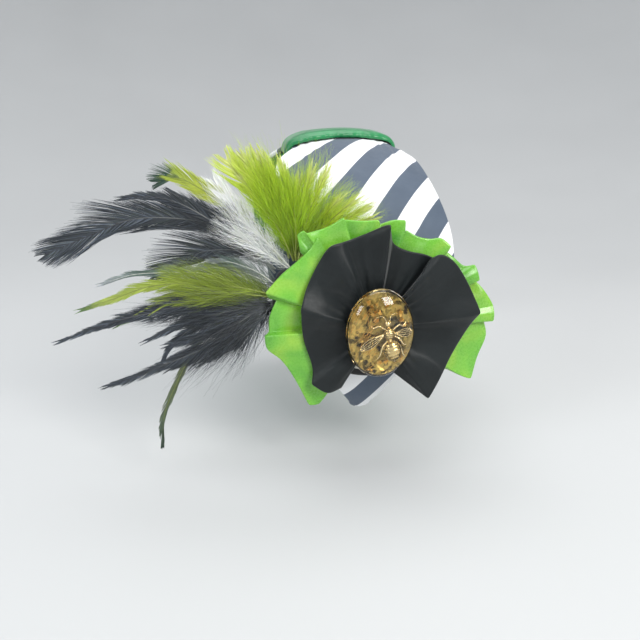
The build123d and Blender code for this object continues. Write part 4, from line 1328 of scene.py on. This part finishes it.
def brass_material():
    """Cast brass, dark in its hollows and rubbed bright on its ridges."""
    s = Shader("antique_brass")
    pointed = s.add("NewGeometry").outputs["Pointiness"]
    colour = s.ramp(pointed, [(0.46, (0.035, 0.025, 0.010)), (0.495, (0.58, 0.45, 0.20)),
                              (0.54, (0.95, 0.82, 0.50))])
    fine = s.noise(s.place(), 2500.0, 3)
    gloss = s.ramp(fine, [(0.3, grey(0.16)), (0.7, grey(0.30))])
    return s.set(Base_Color=colour, Metallic=1.0, Roughness=gloss)


def resin_material():
    """Clear resin with a faint warm tint."""
    s = Shader("amber_resin")
    s.material.use_backface_culling = False
    fine = s.noise(s.place(), 60.0, 2)
    tint = s.ramp(fine, [(0.3, (1.0, 0.93, 0.80)), (0.7, (1.0, 0.96, 0.87))])
    return s.set(Base_Color=tint, Transmission_Weight=1.0, IOR=1.47, Roughness=0.015)


# The last True gives the foil its painted shadow under the bee.
FOIL = foil_material("amber_foil", [(0.34, (0.030, 0.022, 0.010)), (0.41, (0.14, 0.105, 0.035)),
                                    (0.47, (0.36, 0.27, 0.075)), (0.54, (0.60, 0.46, 0.135)),
                                    (0.62, (0.72, 0.53, 0.150)), (0.69, (0.36, 0.20, 0.035)),
                                    (0.76, (0.72, 0.38, 0.05))], 0.36, True)
SHREDS = foil_material("gold_shreds", [(0.3, (0.62, 0.24, 0.02)), (0.5, (0.85, 0.55, 0.14)),
                                       (0.7, (0.78, 0.33, 0.03))], 0.28)
BRASS = brass_material()
PLATE_FRONT = -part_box("cabochon_plate")[0].y / MM
RESIN = resin_material()
THREAD = felt_material("thread", (0.03, 0.10, 0.06))


def make_medallion():
    """Dark plate, foil, bee, shreds and the clear dome over them."""
    plate = oval_solid("medallion_plate", "cabochon_plate", DISC_PROFILE)
    finish_piece(plate, metal_material("dark_plate", (0.05, 0.045, 0.04), 0.4, 0.3),
                 "dark_plate", "cabochon_plate")
    make_foil()
    make_bee()
    make_flakes()
    dome = oval_solid("medallion_dome", "resin_cabochon", DOME_PROFILE)
    finish_piece(dome, RESIN, "amber_resin", "resin_cabochon")


# ---- clip, comb and discs --------------------------------------------------------------------
PIN_Y, PIN_Z = 10.5, -8.4    # the clip's pin, and the spring's coil round it
COIL_RADIUS = 1.3
COIL_HALF_WIDTH = 1.0
COIL_STEPS = 90
SPRING_WIRE = 0.25
LEG_REACH = (8.8, 6.0, 3.0)
UPPER_SLOPE, LOWER_SLOPE = 0.2126, -0.2309


def make_spring():
    """The clip's torsion spring: its coil and upper leg on the hat, lower leg on the lever."""
    radii = (SPRING_WIRE, SPRING_WIRE)
    turns = np.linspace(0.5 * math.pi, 7.5 * math.pi, COIL_STEPS)
    coil = [(x, PIN_Y + COIL_RADIUS * math.cos(a), PIN_Z + COIL_RADIUS * math.sin(a))
            for x, a in zip(np.linspace(COIL_HALF_WIDTH, -COIL_HALF_WIDTH, COIL_STEPS), turns)]
    rise = [(COIL_HALF_WIDTH, PIN_Y + run, PIN_Z + COIL_RADIUS + run * UPPER_SLOPE)
            for run in (*LEG_REACH, 1.0)]
    upper = joined("spring_coil", [tube(rise + coil, radii, 10, 500)])
    finish_piece(upper, CLIP_METAL, "spring_steel", "clip_spring")
    fall = [(-COIL_HALF_WIDTH, PIN_Y + run, PIN_Z - COIL_RADIUS + run * LOWER_SLOPE)
            for run in (0.15, *reversed(LEG_REACH))]
    lower = joined("spring_lower_leg", [tube(fall, radii, 10, 40)])
    lower.data.materials.append(CLIP_METAL)
    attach(lower, "lever")


def make_discs():
    """Felt and buckram discs behind the rosette, the felt patch under the feathers."""
    for node, material, slot in (("rosette_backing", FELT_BLACK, "felt"),
                                 ("rosette_core", BUCKRAM, "buckram")):
        disc = oval_solid(node + "_disc", node, DISC_PROFILE, 160, 0.006)
        finish_piece(disc, material, slot, node)
    patch = oval_solid("feather_patch_felt", "feather_patch", DISC_PROFILE, 96, 0.02)
    finish_piece(patch, FELT_BLACK, "felt", "feather_patch")


def dress_metal():
    """Metal looks on the clip's and comb's own shapes."""
    comb = metal_material("comb_steel", (0.55, 0.56, 0.58), 0.25, 0.3)
    looks = {"clip_base": CLIP_METAL, "clip_lever": CLIP_METAL, "clip_pin": CLIP_METAL,
             "side_comb": comb, "comb_stitches": THREAD, "clip_pad": FELT_BLACK}
    for node, material in looks.items():
        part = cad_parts[node]
        part.data.materials.clear()
        part.data.materials.append(material)


# ---- camera, lamps and floor -----------------------------------------------------------------
def make_camera():
    """Camera at eye height a little above the crown, looking down at the rosette."""
    data = bpy.data.cameras.new("camera")
    data.lens = 36.0
    data.sensor_width = 36.0
    data.clip_start = 0.01
    camera = bpy.data.objects.new("camera", data)
    camera.location = (-0.06372, -0.35446, 0.016)
    camera.rotation_euler = (math.radians(72.0), 0.0, math.radians(-8.6))
    bpy.context.scene.collection.objects.link(camera)
    bpy.context.scene.camera = camera


LAMP_AIM = (0.0, -0.06, -0.06)


def area_light(name, place, size, power, colour=(1, 1, 1)):
    """A soft square lamp that points at the hat."""
    from mathutils import Vector
    data = bpy.data.lights.new(name, "AREA")
    data.size = size
    data.energy = power
    data.color = colour
    lamp = bpy.data.objects.new(name, data)
    lamp.location = place
    lamp.rotation_euler = (Vector(LAMP_AIM) - Vector(place)).to_track_quat("-Z", "Y").to_euler()
    bpy.context.scene.collection.objects.link(lamp)


FLOOR_GAP = 0.012            # metres below the hat
FLOOR_FLAT, FLOOR_BEND = 0.45, 1.5
WALL_TOP = 2.2


def make_studio():
    """A pale floor just under the hat, soft lamps and an even sky."""
    floor_z = cad_box[0][2] - FLOOR_GAP
    bend = np.linspace(0, math.pi / 2, 33)[1:]
    profile = [(0.0, 0.0), (FLOOR_FLAT, 0.0),
               *((FLOOR_FLAT + FLOOR_BEND * math.sin(a), FLOOR_BEND - FLOOR_BEND * math.cos(a))
                 for a in bend),
               (FLOOR_FLAT + FLOOR_BEND, WALL_TOP)]
    turn = np.linspace(0, 2 * math.pi, 96, endpoint=False)
    rings = [[(r * math.cos(a), r * math.sin(a), floor_z + z) for a in turn] for r, z in profile]
    floor = weld(grid_object("studio_floor", np.asarray(rings) / MM, wrap_cols=True), 1e-5)
    s = Shader("studio_floor")
    tone = s.ramp(s.noise(s.place(), 3.0, 2),
                  [(0.3, (0.50, 0.51, 0.515)), (0.7, (0.53, 0.54, 0.545))])
    floor.data.materials.append(s.set(Base_Color=tone, Roughness=0.9))
    world = bpy.data.worlds.new("studio")
    bpy.context.scene.world = world
    world.use_nodes = True
    background = world.node_tree.nodes["Background"]
    background.inputs["Color"].default_value = (0.93, 0.96, 1.0, 1)
    background.inputs["Strength"].default_value = 0.70
    area_light("window_right", (0.42, -0.80, 0.52), 0.42, 9.0, (1.0, 0.98, 0.95))
    area_light("window_left", (-0.85, -0.55, 0.35), 0.35, 4.0, (0.94, 0.97, 1.0))
    area_light("ceiling", (0.0, 0.1, 1.3), 1.2, 13.0)
    bpy.context.scene.view_settings.view_transform = "Standard"


make_camera()
make_studio()
make_cover()
make_lining()
make_band()
make_ruffle("lime_ruffle_satin", "lime_ruffle", LIME_RAYS, LIME_FOOT, BLACK_FOOT - 0.3,
            SATIN_LIME, "lime_satin", 3)
make_ruffle("black_ruffle_satin", "black_ruffle", BLACK_RAYS, BLACK_FOOT, PLATE_BACK - 0.3,
            SATIN_BLACK, "black_satin", 5)
make_medallion()
make_discs()
make_spring()
dress_metal()
for feather_order, feather in enumerate(FEATHERS.items()):
    make_feather(feather_order, *feather)
